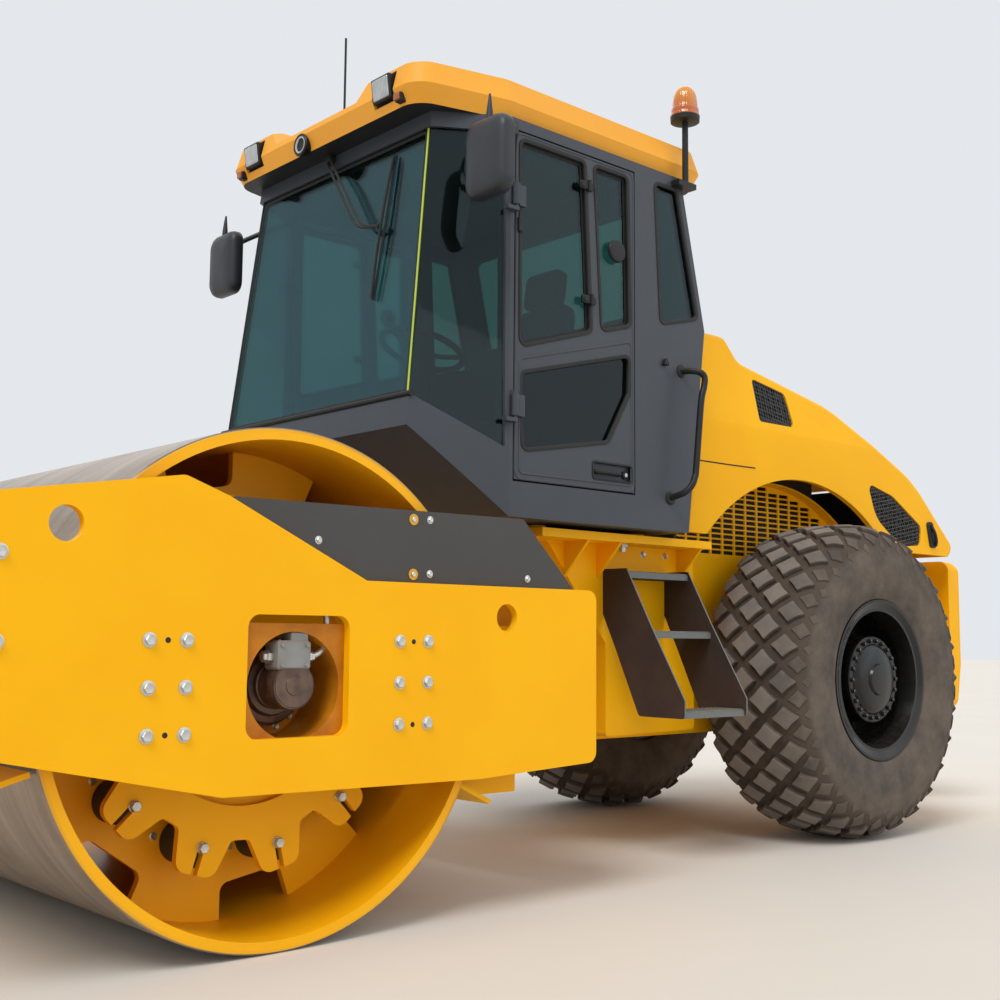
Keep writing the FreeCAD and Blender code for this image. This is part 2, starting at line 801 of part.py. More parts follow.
def hoodSolid(inset):
    """The hood's volume: its side outline crossed with its section, which leans in above the crease."""
    top = max(p[1] for p in hoodOutline) + 100
    lean = (hoodHalfWidth - hoodTopHalf) * (top - hoodCrease) / (top - 100 - hoodCrease)
    side = inwards(Part.Face(outline(fromAxle(hoodOutline), "xz", -hoodHalfWidth)), inset)
    section = Part.Face(outline([(-hoodHalfWidth, hoodBottom - 50), (hoodHalfWidth, hoodBottom - 50),
                                 (hoodHalfWidth, hoodCrease), (hoodHalfWidth - lean, top),
                                 (lean - hoodHalfWidth, top), (-hoodHalfWidth, hoodCrease)],
                                "yz", wheelX - 2 * chassisTail))
    section = inwards(section, inset)
    return side.extrude(Vec(0, 2 * hoodHalfWidth, 0)).common(section.extrude(Vec(2 * wheelBase, 0, 0)))


def hoodHalfAt(height):
    """The hood's half width at a height above its crease."""
    share = (height - hoodCrease) / (max(p[1] for p in hoodOutline) - hoodCrease)
    return hoodHalfWidth - (hoodHalfWidth - hoodTopHalf) * share


def roundedHood():
    """The hood's volume with its top edges rounded."""
    body = hoodSolid(0)
    creases = [edge for edge in body.Edges if all(abs(v.Z - hoodCrease) < 1 for v in edge.Vertexes)]
    body = body.makeFillet(hoodCreaseRadius, creases)
    edges = []
    for edge in body.Edges:
        middle = edge.valueAt((edge.FirstParameter + edge.LastParameter) / 2)
        normals = [face.normalAt(*face.Surface.parameter(middle)) for face in body.ancestorsOfType(edge, Part.Face)]
        if min(abs(n.y) for n in normals) < 0.01 and max(abs(n.y) for n in normals) > 0.9 \
                and middle.z > hoodBottom + 5:
            edges.append(edge)
    return body.makeFillet(hoodEdge, edges)


def tailSlotPrisms():
    """Slots across the hood's sloping tail, for the cooler's air."""
    return [block(wheelX - chassisTail - 100, wheelX + archCentre[0] - archRadius + 60, -tailSlotHalf, tailSlotHalf,
                  tailSlotTop - i * tailSlotPitch - tailSlotHeight, tailSlotTop - i * tailSlotPitch)
            for i in range(tailSlots)]


def ventPrisms():
    """The four openings through the hood's sides."""
    vents = []
    for vent in (meshVent, tailVent):
        hole = prism(fromAxle(vent), "xz", hoodTopHalf - 60, hoodHalfWidth + 1)
        vents += [hole, mirrored(hole)]
    return vents


def makeHood():
    front = wheelX + hoodOutline[0][0]
    back = wheelX + hoodOutline[-2][0]
    inner = hoodHalfWidth - hoodWall
    below = block(front + 100, back + 3 * hoodWall, -inner, inner, hoodBottom - 10, hoodBottom + 2 * hoodWall)
    facing = block(front + 100, wheelX + hoodOutline[1][0] - hoodWall - 140, -hoodTopHalf + hoodWall,
                   hoodTopHalf - hoodWall, hoodBottom - 10, hoodOutline[1][1] - hoodWall)
    arch = rod("y", archRadius, -hoodHalfWidth - 1, hoodHalfWidth + 1, wheelX + archCentre[0], archCentre[1])
    x, z = hoodHinge
    bores = [rod("y", hoodPin + runningFit, side * hoodPinInner, side * (hoodHalfAt(z) - 4), wheelX + x, z)
             for side in (-1, 1)]
    cuts = [hoodSolid(hoodWall), below, facing, arch] + ventPrisms() + tailSlotPrisms() + bores
    return roundedHood().cut(cuts)


def makeHoodGrilles():
    """Mesh in the hood's four side openings, following its skin."""
    band = hoodSolid(grilleIn).cut(hoodSolid(grilleIn + grilleThick))
    solids = []
    for hole in ventPrisms():
        plate = band.common(hole)
        box = plate.BoundBox
        slots = []
        columns = int(box.XLength / meshPitch)
        rows = int(box.ZLength / meshPitch)
        for i in range(columns + 1):
            for j in range(rows + 1):
                x = box.Center.x + (i - columns / 2) * meshPitch
                z = box.Center.z + (j - rows / 2) * meshPitch
                slot = block(x - meshSlot / 2, x + meshSlot / 2, hole.BoundBox.YMin, hole.BoundBox.YMax,
                             z - meshSlot / 2, z + meshSlot / 2)
                if hole.common(slot).Volume > 0.999 * slot.Volume:
                    slots.append(slot)
        solids.append(plate.cut(slots))
    return Part.makeCompound([solid for shape in solids for solid in shape.Solids])


def makeLattice():
    """Slotted side panel of the engine bay under the wheel arch, on the chassis rail, with the liner's lip."""
    foot = chassisTop - deckThick
    centreX = wheelX + archCentre[0]
    centreZ = archCentre[1]
    front, rear = (wheelX + a for a in latticeEnds)
    inner = chassisHalfWidth - latticeThick
    plate = block(front, rear, inner, chassisHalfWidth, foot, centreZ + archRadius)
    disc = rod("y", archRadius, inner - 1, chassisHalfWidth + linerWidth, centreX, centreZ)
    hole = rod("y", archRadius - linerThick, inner - 2, chassisHalfWidth + linerWidth + 1, centreX, centreZ)
    bay = block(front, rear, chassisHalfWidth, chassisHalfWidth + linerWidth, foot + deckThick,
                centreZ + archRadius + 1)
    lip = disc.cut(hole).common(bay)
    slotLength, slotHeight = latticeSlot
    pitchX, pitchZ = latticePitch
    slots = []
    for i in range(int((front - rear) / pitchX)):
        for j in range(int((centreZ + archRadius - foot) / pitchZ)):
            x = front - latticeMargin - i * pitchX
            z = foot + latticeMargin + j * pitchZ
            reach = max(abs(x - centreX), abs(x - slotLength - centreX))
            inside = math.hypot(reach, z + slotHeight - centreZ) < archRadius - latticeMargin
            if inside and x - slotLength > rear + latticeMargin:
                slots.append(block(x, x - slotLength, inner - 1, chassisHalfWidth + 1, z, z + slotHeight))
    return joined([plate.common(disc), lip]).cut(slots)


def makeBulkhead():
    """Bulkhead behind the cab with brackets and pins that the hood lifts on."""
    x = wheelX + hoodHinge[0]
    z = hoodHinge[1]
    front = wheelX + bulkheadFront
    parts = [block(front, front - bulkheadThick, -bulkheadHalf, bulkheadHalf, chassisTop, z - 15)]
    inner = hoodPinInner
    for side in (-1, 1):
        parts.append(rod("y", hoodPin, side * inner, side * (hoodHalfAt(z) - 6), x, z))
        parts.append(block(x, front - bulkheadThick / 2, side * inner, side * (inner + 20), z - 120, z + 5))
        parts.append(rod("y", hoodEar, side * inner, side * (inner + 20), x, z))
    return joined(parts)


def cabSolid(inset, low, high):
    """The cab's volume between two heights, its sides drawn in by inset, its back following the rear edge."""
    def section(z):
        share = (z - cabBottom) / (cabTop - cabBottom)
        front = cabFrontBottom + share * (cabFrontTop - cabFrontBottom) - inset
        half = cabFrontHalfBottom + share * (cabFrontHalfTop - cabFrontHalfBottom) - inset
        side = cabHalfWidth - inset
        rear = min(p[0] for p in cabRearEdge) - 10
        points = [(front, -half), (front, half), (cabCorner - inset / 4, side), (rear, side), (rear, -side),
                  (cabCorner - inset / 4, -side)]
        return Part.makePolygon([Vec(wheelX + x, y, z) for x, y in points + points[:1]])
    body = Part.makeLoft([section(low), section(high)], True, True)
    beyond = cabFrontBottom + 100
    edge = [(x + inset, z) for x, z in cabRearEdge]
    edge[0] = (edge[0][0], low - 1)
    edge[-1] = (edge[-1][0], high + 1)
    back = prism(fromAxle(edge + [(beyond, high + 1), (beyond, low - 1)]), "xz", -cabHalfWidth, cabHalfWidth)
    return body.common(back)


def noseCut():
    """What the cab's raised front underside leaves out."""
    points = [(cabCorner, cabBottom - 50), (cabCorner, cabBottom), (cabFrontBottom + 20, cabBottom + noseHeight),
              (cabFrontBottom + 60, cabBottom + noseHeight), (cabFrontBottom + 60, cabBottom - 50)]
    return prism(fromAxle(points), "xz", -cabHalfWidth - 50, cabHalfWidth + 50)


def frontOpening():
    """The glazed front of the cab, from the quarter panes' rear edge forward."""
    points = [(quarterRear, quarterSill), (cabFrontBottom - 50, glassSill), (cabFrontBottom + 50, glassSill),
              (cabFrontBottom + 50, glassTop), (quarterRear, glassTop)]
    return prism(fromAxle(points), "xz", -cabHalfWidth - 50, cabHalfWidth + 50)


def rearOpenings():
    """The openings of the rear pane and the two rear side panes."""
    half, low, high, corner = rearGlass
    rear = prism([(-half, low, corner), (half, low, corner), (half, high, corner), (-half, high, corner)],
                 "yz", wheelX + cabRearEdge[1][0] - 20, wheelX + cabRearEdge[2][0] + cabWall + 20)
    side = prism(fromAxle(rearPane), "xz", cabHalfWidth - cabWall - 20, cabHalfWidth + 20)
    return [rear, side, mirrored(side)]


def makeCabFrame():
    shell = cabSolid(0, cabBottom, cabTop).cut(cabSolid(cabWall, cabBottom - 1, cabTop + 1))
    cuts = [noseCut(), frontOpening()] + rearOpenings()
    for s in (-1, 1):
        near, far = sorted((s * (cabHalfWidth + 20), s * (cabHalfWidth - cabWall - 20)))
        cuts.append(block(wheelX + doorFront, wheelX + doorRear, near, far, doorBottom, doorTop))
    shell = shell.cut(cuts)
    pins = []
    x = wheelX + hingeX
    for s in (-1, 1):
        y = s * (cabHalfWidth + hingeOut)
        for z in hingeHeights:
            foot = z - hingeDown - 10
            pins.append(rod("z", hingePin, foot, z + hingeUp + 20, x, y))
            pins.append(block(x - hingePin, x + hingeLeaf, s * cabHalfWidth, y + s * hingePin, foot - 15, foot))
    return joined([shell] + pins)


def glassBand():
    """A skin inside the cab's wall, which the panes are cut from."""
    return cabSolid(glassIn, cabBottom, cabTop).cut(cabSolid(glassIn + glassThick, cabBottom - 1, cabTop + 1))


def seamWedge(grow):
    """What lies between the windscreen's side edges, which lean in as the cab's front corners do."""
    low = cabFrontHalfBottom - glassIn - glassThick - sealGap + grow
    high = cabFrontHalfTop - glassIn - glassThick - sealGap + grow
    return prism([(-low, cabBottom), (low, cabBottom), (high, cabTop), (-high, cabTop)], "yz",
                 wheelX + cabCorner - 200, wheelX + cabFrontBottom + 100)


def makeWindscreen():
    return glassBand().common(frontOpening()).common(seamWedge(0))


def makeSideGlass():
    """The quarter panes, the rear side panes and the rear pane."""
    band = glassBand()
    panes = [band.common(frontOpening()).cut(seamWedge(sealGap))] + [band.common(hole) for hole in rearOpenings()]
    return Part.makeCompound([solid for pane in panes for solid in pane.Solids])


def makeFloor():
    """Floor pan, rising to the nose."""
    nose = cabFrontBottom + 20
    under = prism(fromAxle([(cabRearEdge[0][0] - 20, cabBottom), (cabCorner, cabBottom),
                            (nose, cabBottom + noseHeight), (nose, cabBottom + noseHeight + 70),
                            (cabCorner - 20, floorTop), (cabRearEdge[0][0] - 20, floorTop)]),
                  "xz", -cabHalfWidth, cabHalfWidth)
    return under.common(cabSolid(cabWall, cabBottom, cabTop))


def roofSection(height, inset):
    """The roof's plan at one level: straight sides that narrow ahead of the doors, and round corners."""
    front = roofFront - inset
    rear = roofRear + inset
    half = roofFrontHalf - inset
    wide = roofRearHalf - inset
    points = [(front, -half, roofRound), (front, half, roofRound), (roofCorner, wide, roofRound),
              (rear, wide, roofRound), (rear, -wide, roofRound), (roofCorner, -wide, roofRound)]
    return outline(fromAxle(points), "xy", cabTop + height)


def makeRoof():
    """Roof in bands between its levels, dipped between the lamp pods, with a recess for each lamp."""
    bands = []
    for low, high in zip(roofLevels[:-1], roofLevels[1:]):
        bands.append(Part.makeLoft([roofSection(*low), roofSection(*high)], True, True))
    top = cabTop + roofLevels[-1][0]
    front = wheelX + roofFront
    foot = cabTop + dipHeight
    across = prism([(-dipHalf, foot), (dipHalf, foot), (dipHalf + dipFlare, top), (-dipHalf - dipFlare, top)],
                   "yz", front - dipLength, front)
    ramp = prism([(front, foot), (front, top), (front - dipLength, top)], "xz", -roofRearHalf, roofRearHalf)
    return joined(bands).cut([across.common(ramp)] + [lampBlock(side, lampFit) for side in (-1, 1)])


def lampBlock(side, grow):
    """A work lamp's housing in the roof's front, tilted down; grown, it is the recess that it sits in."""
    width, height, depth = lampSize
    reach = lampOut if grow == 0 else lampOut + height
    lamp = block(-depth, reach, -width / 2 - grow, width / 2 + grow, -height / 2 - grow, height / 2 + grow)
    lamp.rotate(Vec(0, 0, 0), Vec(0, 1, 0), lampTilt)
    lamp.translate(Vec(wheelX + roofFront - lampSetBack, side * podY, cabTop + lampRise))
    return lamp


def lampPocket(side):
    """The shallow pocket in a lamp's face that its glass sits in."""
    width, height, depth = lampSize
    pocket = block(lampOut - lensDeep, lampOut + lensDeep, -width / 2 + lensRim, width / 2 - lensRim,
                   -height / 2 + lensRim, height / 2 - lensRim)
    pocket.rotate(Vec(0, 0, 0), Vec(0, 1, 0), lampTilt)
    pocket.translate(Vec(wheelX + roofFront - lampSetBack, side * podY, cabTop + lampRise))
    return pocket


def makeRoofFittings(roof):
    """Lamp housings, the beacon's stalk on its bracket, and the aerial."""
    lamps = [lampBlock(side, 0).cut(lampPocket(side)) for side in (-1, 1)]
    x = wheelX + beaconX
    foot = block(x - bracketHalf, x + bracketHalf, cabHalfWidth, beaconY + stalkRadius,
                 bracketTop - bracketThick, bracketTop)
    stalk = rod("z", stalkRadius, bracketTop - bracketThick, beaconBottom, x, beaconY)
    cup = rod("z", beaconRadius + 3, beaconBottom - cupHeight, beaconBottom, x, beaconY)
    x = wheelX + antennaX
    base = cabTop + dipHeight
    aerial = joined([rod("z", antennaRadius, base, antennaTop, x, 0),
                     rod("z", antennaFoot, base, cabTop + roofLevels[-1][0], x, 0)]).cut(roof)
    return Part.makeCompound(lamps + [joined([foot, stalk, cup]), aerial])


def makeBeacon():
    """Amber dome on the stalk's cup."""
    x = wheelX + beaconX
    shoulder = beaconBottom + beaconHeight - 2 * beaconTaper
    wall = rod("z", beaconRadius, beaconBottom, shoulder, x, beaconY)
    top = Part.makeCone(beaconRadius, beaconRadius - beaconTaper, 2 * beaconTaper, Vec(x, beaconY, shoulder))
    return joined([wall, top])


def makeDoor():
    front = wheelX + doorFront - doorGap
    rear = wheelX + doorRear + doorGap
    inner = cabHalfWidth - doorThick
    panel = block(front, rear, inner, cabHalfWidth, doorBottom + doorGap, doorTop - doorGap)
    cuts = [prism(fromAxle(pane), "xz", inner - 1, cabHalfWidth + 1) for pane in (frontPane, sidePane, lowPane)]
    a, b, low, high, depth = recess
    cuts.append(block(wheelX + a, wheelX + b, cabHalfWidth - depth, cabHalfWidth + 1, low, high))
    x = wheelX + hingeX
    y = cabHalfWidth + hingeOut
    knuckles = []
    for z in hingeHeights:
        knuckles.append(rod("z", hingeKnuckle, z - hingeDown, z + hingeUp, x, y))
        knuckles.append(block(x, x - hingeLeaf, cabHalfWidth - 1, y, z - hingeDown, z + hingeUp))
    clear = [block(x + hingeKnuckle, x - doorGap, cabHalfWidth - 1, cabHalfWidth + 2, z - hingeDown, z + hingeUp)
             for z in hingeHeights]
    door = joined([panel.cut(cuts)] + knuckles)
    bores = [rod("z", hingePin + runningFit, z - 2 * hingeUp, z + 2 * hingeUp, x, y) for z in hingeHeights]
    return door.cut(bores + clear)


def makeDoorGlass():
    near = cabHalfWidth - doorThick / 2 - glassThick / 2
    return Part.makeCompound([prism(fromAxle(pane), "xz", near, near + glassThick)
                              for pane in (frontPane, sidePane, lowPane)])


def makeSeat():
    """Seat on its base, with back and headrest."""
    front = wheelX + seatFront
    rear = front - seatDepth
    foot = floorTop + seatRise
    top = foot + cushionThick
    base = block(front - 60, rear + 40, -seatHalf + 70, seatHalf - 70, floorTop, foot)
    cushion = prism([(front, foot, 30), (rear, foot, 30), (rear, top, 30), (front, top, 50)],
                    "xz", -seatHalf, seatHalf)
    face = rear + backThick - 20
    back = prism([(face, top), (rear - 20, top, 30), (rear - 20 - backLean, top + backHeight, 35),
                  (face - backLean, top + backHeight, 35)], "xz", -seatHalf + 20, seatHalf - 20)
    width, height = headrest
    foot = top + backHeight - 10
    rest = prism([(face - backLean - 10, foot, 20), (rear - 10 - backLean, foot, 20),
                  (rear - 30 - backLean, foot + height, 30), (face - backLean - 30, foot + height, 30)],
                 "xz", -width / 2, width / 2)
    return joined([base, cushion, back, rest])


def makeConsole():
    """Steering column and wheel ahead of the seat."""
    x = wheelX + columnX
    column = prism([(x + 80, floorTop), (x - 40, floorTop), (x - 90, floorTop + columnHeight),
                    (x - 20, floorTop + columnHeight + 20)], "xz", -columnWidth / 2, columnWidth / 2)
    hexagon = [(wheelGrip * math.cos(math.radians(a)), wheelRadius + wheelGrip * math.sin(math.radians(a)))
               for a in range(0, 360, 60)]
    spoke = Part.makeBox(2 * wheelRadius, 30, 16, Vec(-wheelRadius, -15, -8))
    hub = Part.makeCylinder(40, 60, Vec(0, 0, -50))
    rim = ring(hexagon, 0, 0)
    rim.rotate(Vec(0, 0, 0), Vec(1, 0, 0), 90)
    wheel = joined([rim, spoke, hub])
    wheel.rotate(Vec(0, 0, 0), Vec(0, 1, 0), -wheelTilt)
    wheel.translate(Vec(x - 60, 0, floorTop + wheelRise))
    return joined([column, wheel])


def makeMirror():
    """Mirror head on an arm from the cab's top corner."""
    x0, x1, y0, y1, z0, z1 = mirrorHead
    middle = (y0 + y1) / 2
    head = prism([(y0, z0, mirrorRound), (y1, z0, mirrorRound), (y1, z1, mirrorRound), (y0, z1, mirrorRound)],
                 "yz", wheelX + x0, wheelX + x1)
    foot = block(wheelX + mirrorArmX - 25, wheelX + mirrorArmX + 5, cabHalfWidth, cabHalfWidth + 12,
                 mirrorArmZ - 20, mirrorArmZ + 25)
    x = wheelX + (x0 + x1) / 2
    arm = tube([Vec(wheelX + mirrorArmX - 10, cabHalfWidth + 5, mirrorArmZ),
                Vec(wheelX + mirrorArmX, middle, mirrorArmZ),
                Vec(x, middle, mirrorArmZ), Vec(x, middle, z1 - 30)], mirrorArmRadius)
    return joined([arm, foot, head])


def makeHandrail():
    points = [Vec(wheelX + x, y, z) for x, y, z in railPath]
    rail = tube(points, railRadius)
    return rail.cut(block(wheelX, wheelX + cabCorner, 0, cabHalfWidth, 0, cabTop))


def makeSteps():
    """Two cheeks and three treads on the side box."""
    points = [(boxHalfWidth, cheekTop)] + list(cheek) + [(boxHalfWidth, cheekFoot)]
    front = wheelX + stepFront
    rear = wheelX + stepRear
    parts = [prism(points, "yz", x, x + cheekThick) for x in (front, rear)]
    for z, inner, outer in treads:
        parts.append(block(front + cheekThick, rear, inner, outer, z - treadThick, z))
    return joined(parts)


def bothSides(name, shape):
    return {name + "_left": shape, name + "_right": mirrored(shape)}


def makePieces():
    roof = makeRoof()
    pieces = {
        "drum": makeDrum(),
        "rubber_buffers": makeBuffers(),
        "drive_plates": pair(makeDrivePlate()),
        "travel_motors": pair(makeMotor()),
        "guards": pair(makeGuard()),
        "front_beam": makeFrontBeam(),
        "rear_beam": makeRearBeam(),
        "scraper_front": makeScraper(scraperFrontAngle, frontBeamBack, scraperFrontSeat),
        "scraper_rear": makeScraper(scraperRearAngle, beamFront, scraperRearSeat),
        "steer_block": makeSteerBlock(),
        "cylinder_anchors": pair(makeAnchor()),
        "chassis": makeChassis(),
        "bumper": makeBumper(),
        "rear_axle": makeAxle(),
        "engine": makeEngine(),
        "bulkhead": makeBulkhead(),
        "hood": makeHood(),
        "hood_grilles": makeHoodGrilles(),
        "bay_lattices": pair(makeLattice()),
        "cab_frame": makeCabFrame(),
        "cab_floor": makeFloor(),
        "cab_roof": roof,
        "roof_fittings": makeRoofFittings(roof),
        "windscreen": makeWindscreen(),
        "side_rear_glass": makeSideGlass(),
        "seat": makeSeat(),
        "console": makeConsole(),
        "beacon": makeBeacon(),
        "mirrors": pair(makeMirror()),
        "handrails": pair(makeHandrail()),
        "steps": pair(makeSteps()),
    }
    for name, shape in (
            ("side_plate", makeSidePlate()), ("steer_barrel", makeBarrel()), ("steer_rod", makeRod()),
            ("rim", makeRim()), ("tyre", makeTyre()), ("door", makeDoor()), ("door_glass", makeDoorGlass())):
        pieces.update(bothSides(name, shape))
    return pieces


def main():
    os.makedirs("parts", exist_ok=True)
    for name, shape in makePieces().items():
        shape.translate(Vec(bodyShift, 0, 0))
        box = shape.BoundBox
        print(name, "solids", len(shape.Solids), "valid", shape.isValid(), "faces", len(shape.Faces),
              "box", [round(v) for v in (box.XMin, box.XMax, box.YMin, box.YMax, box.ZMin, box.ZMax)])
        shape.exportStep("parts/" + name + ".step")


main()
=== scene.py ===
import math

import bmesh
import bpy
import numpy as np
from mathutils import Matrix, Vector


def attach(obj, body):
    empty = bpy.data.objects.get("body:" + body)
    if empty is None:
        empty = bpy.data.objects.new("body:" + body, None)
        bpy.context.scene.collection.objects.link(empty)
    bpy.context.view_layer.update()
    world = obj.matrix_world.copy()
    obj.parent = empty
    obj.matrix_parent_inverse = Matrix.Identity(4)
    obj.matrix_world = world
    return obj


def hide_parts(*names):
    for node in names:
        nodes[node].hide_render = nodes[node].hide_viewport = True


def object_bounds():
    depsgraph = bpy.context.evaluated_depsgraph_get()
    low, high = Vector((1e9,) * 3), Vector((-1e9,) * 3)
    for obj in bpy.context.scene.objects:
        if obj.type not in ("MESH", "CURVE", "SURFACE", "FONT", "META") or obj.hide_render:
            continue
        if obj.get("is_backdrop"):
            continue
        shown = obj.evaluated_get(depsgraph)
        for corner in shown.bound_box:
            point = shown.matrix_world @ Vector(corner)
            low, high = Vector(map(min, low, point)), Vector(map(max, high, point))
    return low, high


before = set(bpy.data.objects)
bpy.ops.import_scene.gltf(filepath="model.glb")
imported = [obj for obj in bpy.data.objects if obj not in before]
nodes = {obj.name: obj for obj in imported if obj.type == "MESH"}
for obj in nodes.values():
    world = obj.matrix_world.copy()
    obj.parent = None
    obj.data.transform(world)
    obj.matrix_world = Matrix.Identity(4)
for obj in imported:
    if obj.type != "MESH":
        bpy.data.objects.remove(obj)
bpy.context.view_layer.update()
print("frame:", len(nodes), "nodes")


# shapes are numpy surfaces: a (points, quads) pair, gathered into pieces

def grid(points, wrapU=False, wrapV=False):
    # a sheet of quads over an n by m array of points, joined round in u or v where wrapped
    n, m = points.shape[:2]
    u = np.arange(n if wrapU else n - 1)[:, None]
    v = np.arange(m if wrapV else m - 1)[None, :]
    corners = [(u, v), ((u + 1) % n, v), ((u + 1) % n, (v + 1) % m), (u, (v + 1) % m)]
    quads = np.stack([a * m + b for a, b in corners], -1)
    return points.reshape(-1, 3), quads.reshape(-1, 4)


def gather(parts):
    # several shapes as one, each part's quads counted on from the points before it
    starts = np.cumsum([0] + [len(points) for points, quads in parts[:-1]])
    return (np.concatenate([points for points, quads in parts]),
            np.concatenate([quads + start for (points, quads), start in zip(parts, starts)]))


def turned(profile, sides=24):
    # a profile of (height, radius) carried round z: (r cos t, r sin t, h)
    height, radius = np.array(profile, float).T[:, :, None]
    t = np.linspace(0, 2 * np.pi, sides, endpoint=False)
    return grid(np.stack([radius * np.cos(t), radius * np.sin(t), height + 0 * t], -1), wrapV=True)


def pointed(shape, places, axis):
    # the shape made along z, copied to each place and turned to point along the axis
    points, quads = shape
    turn = np.array(Vector((0, 0, 1)).rotation_difference(Vector(axis)).to_matrix())
    places = np.array(places, float).reshape(-1, 3)
    everywhere = (points @ turn.T)[None] + places[:, None]
    counted = quads[None] + (np.arange(len(places)) * len(points))[:, None, None]
    return everywhere.reshape(-1, 3), counted.reshape(-1, quads.shape[1])


def eased(points, each=6):
    # a curve through the points: each span blends its four nearest points by the Catmull-Rom cubic
    p = np.array(points, float)
    p = np.concatenate([2 * p[:1] - p[1:2], p, 2 * p[-1:] - p[-2:-1]])
    t = np.linspace(0, 1, each, endpoint=False)[None, :, None]
    a, b, c, d = (p[i:len(p) - 3 + i, None] for i in range(4))
    curve = 0.5 * (2 * b + (c - a) * t + (2 * a - 5 * b + 4 * c - d) * t ** 2 + (3 * b - a - 3 * c + d) * t ** 3)
    return np.concatenate([curve.reshape(-1, p.shape[1]), p[-2:-1]])


def swept(path, radius, up=(0, 0, 1), sides=12):
    # a round bar along a path: at each point a ring square to it, one direction kept as near to up as it can be
    path = np.array(path, float)
    along = np.gradient(path, axis=0)
    along /= np.linalg.norm(along, axis=1, keepdims=True)
    across = np.array(up, float) - (along @ np.array(up, float))[:, None] * along
    across /= np.linalg.norm(across, axis=1, keepdims=True)
    other = np.cross(along, across)
    t = np.linspace(0, 2 * np.pi, sides, endpoint=False)[None, :, None]
    size = np.broadcast_to(np.array(radius, float).reshape(-1, 1, 1), (len(path), 1, 1))
    rings = path[:, None] + size * (np.cos(t) * across[:, None] + np.sin(t) * other[:, None])
    ends = [np.repeat(path[i][None, None], sides, 1) for i in (0, -1)]
    return grid(np.concatenate([ends[0], rings, ends[1]]), wrapV=True)


def rounded(corners, steps=5):
    # a closed outline from corners (a, b, radius): each corner becomes the arc that touches both its sides
    p = np.array([c[:2] for c in corners], float)
    radius = np.array([c[2] for c in corners], float)[:, None]
    before = np.roll(p, 1, 0) - p
    after = np.roll(p, -1, 0) - p
    before /= np.linalg.norm(before, axis=1, keepdims=True)
    after /= np.linalg.norm(after, axis=1, keepdims=True)
    half = np.arccos(np.clip((before * after).sum(1, keepdims=True), -1, 1)) / 2
    middle = before + after
    middle /= np.linalg.norm(middle, axis=1, keepdims=True)
    centre = p + middle * radius / np.sin(half)
    first = p + before * radius / np.tan(half) - centre
    last = p + after * radius / np.tan(half) - centre
    sweep = (np.pi - 2 * half)[:, :, None]
    k = np.linspace(0, 1, steps)[None, :, None]
    arc = (np.sin((1 - k) * sweep) * first[:, None] + np.sin(k * sweep) * last[:, None]) / np.sin(sweep)
    loop = (centre[:, None] + arc).reshape(-1, 2)
    turning = (loop[:, 0] * np.roll(loop[:, 1], -1) - loop[:, 1] * np.roll(loop[:, 0], -1)).sum()
    return loop if turning > 0 else loop[::-1]


def outwards(loop):
    # the outline's unit normals, square to the chord between each point's neighbours
    chord = np.roll(loop, -1, 0) - np.roll(loop, 1, 0)
    chord /= np.linalg.norm(chord, axis=1, keepdims=True)
    return np.stack([chord[:, 1], -chord[:, 0]], -1)


def banded(loop, profile, lift):
    # a closed band along an outline: every point carries the profile of (outwards, height), lifted into space
    out, height = np.array(profile, float).T
    flat = loop[:, None] + out[None, :, None] * outwards(loop)[:, None]
    return grid(lift(flat[..., 0], flat[..., 1], height[None] + 0 * flat[..., 0]), wrapU=True, wrapV=True)


def filled(loop, profile, lift):
    # a closed lid over an outline: rings of (outwards, height) from the underside's middle round the edge to the top's,
    # with one more ring 1 mm inside the last, so that the flat top shades flat
    out, height = np.array(list(profile) + [(profile[-1][0] - 0.001, profile[-1][1])], float).T
    middle = loop.mean(0)
    rings = loop[None] + out[:, None, None] * outwards(loop)[None]
    rings = np.concatenate([np.broadcast_to(middle, rings[:1].shape), rings, np.broadcast_to(middle, rings[:1].shape)])
    height = np.concatenate([height[:1], height, height[-1:]])[:, None] + 0 * rings[..., 0]
    return grid(lift(rings[..., 0], rings[..., 1], height), wrapV=True)


def crowned(loop, profile, lift):
    # a closed shell over an outline: rings drawn in towards the middle by (share, height), closed at both middles
    share, height = np.array(profile, float).T
    middle = loop.mean(0)
    rings = middle + share[:, None, None] * (loop - middle)[None]
    return grid(lift(rings[..., 0], rings[..., 1], height[:, None] + 0 * rings[..., 0]), wrapV=True)


def wireMesh(outline, pitch, angle, radius, place):
    # woven wires across a convex outline: at each step of the pitch, a line turned by the angle is cut where it
    # crosses the outline's sides, and place puts (a, b) and the wire's height into space
    corners = np.array(outline, float)
    along = np.array([math.cos(angle), math.sin(angle)])
    across = np.array([-along[1], along[0]])
    reach, depth = corners @ along, corners @ across
    wires = []
    for level in np.arange(depth.min() + pitch * 0.5, depth.max(), pitch):
        after, later = np.roll(reach, -1), np.roll(depth, -1)
        hit = (depth - level) * (later - level) < 0
        share = (level - depth[hit]) / (later[hit] - depth[hit])
        ends = np.sort(reach[hit] + share * (after[hit] - reach[hit]))
        wires.append(swept([place(*(e * along + level * across)) for e in (ends[0], ends[-1])], radius, (0.3, 0.9, 0.2), 4))
    return gather(wires)


def onSide(face, side):
    # an (x, z) outline stood on the machine's side: height counts outwards from the face
    return lambda a, b, h: np.stack([a, side * (face + h), b], -1)


def onFront(face, lean=0.0, foot=0.0):
    # a (y, z) outline on a face that looks forward and leans back as it rises
    return lambda a, b, h: np.stack([face - lean * (b - foot) + h, a, b], -1)


def onTop(face):
    return lambda a, b, h: np.stack([a, b, face + h], -1)


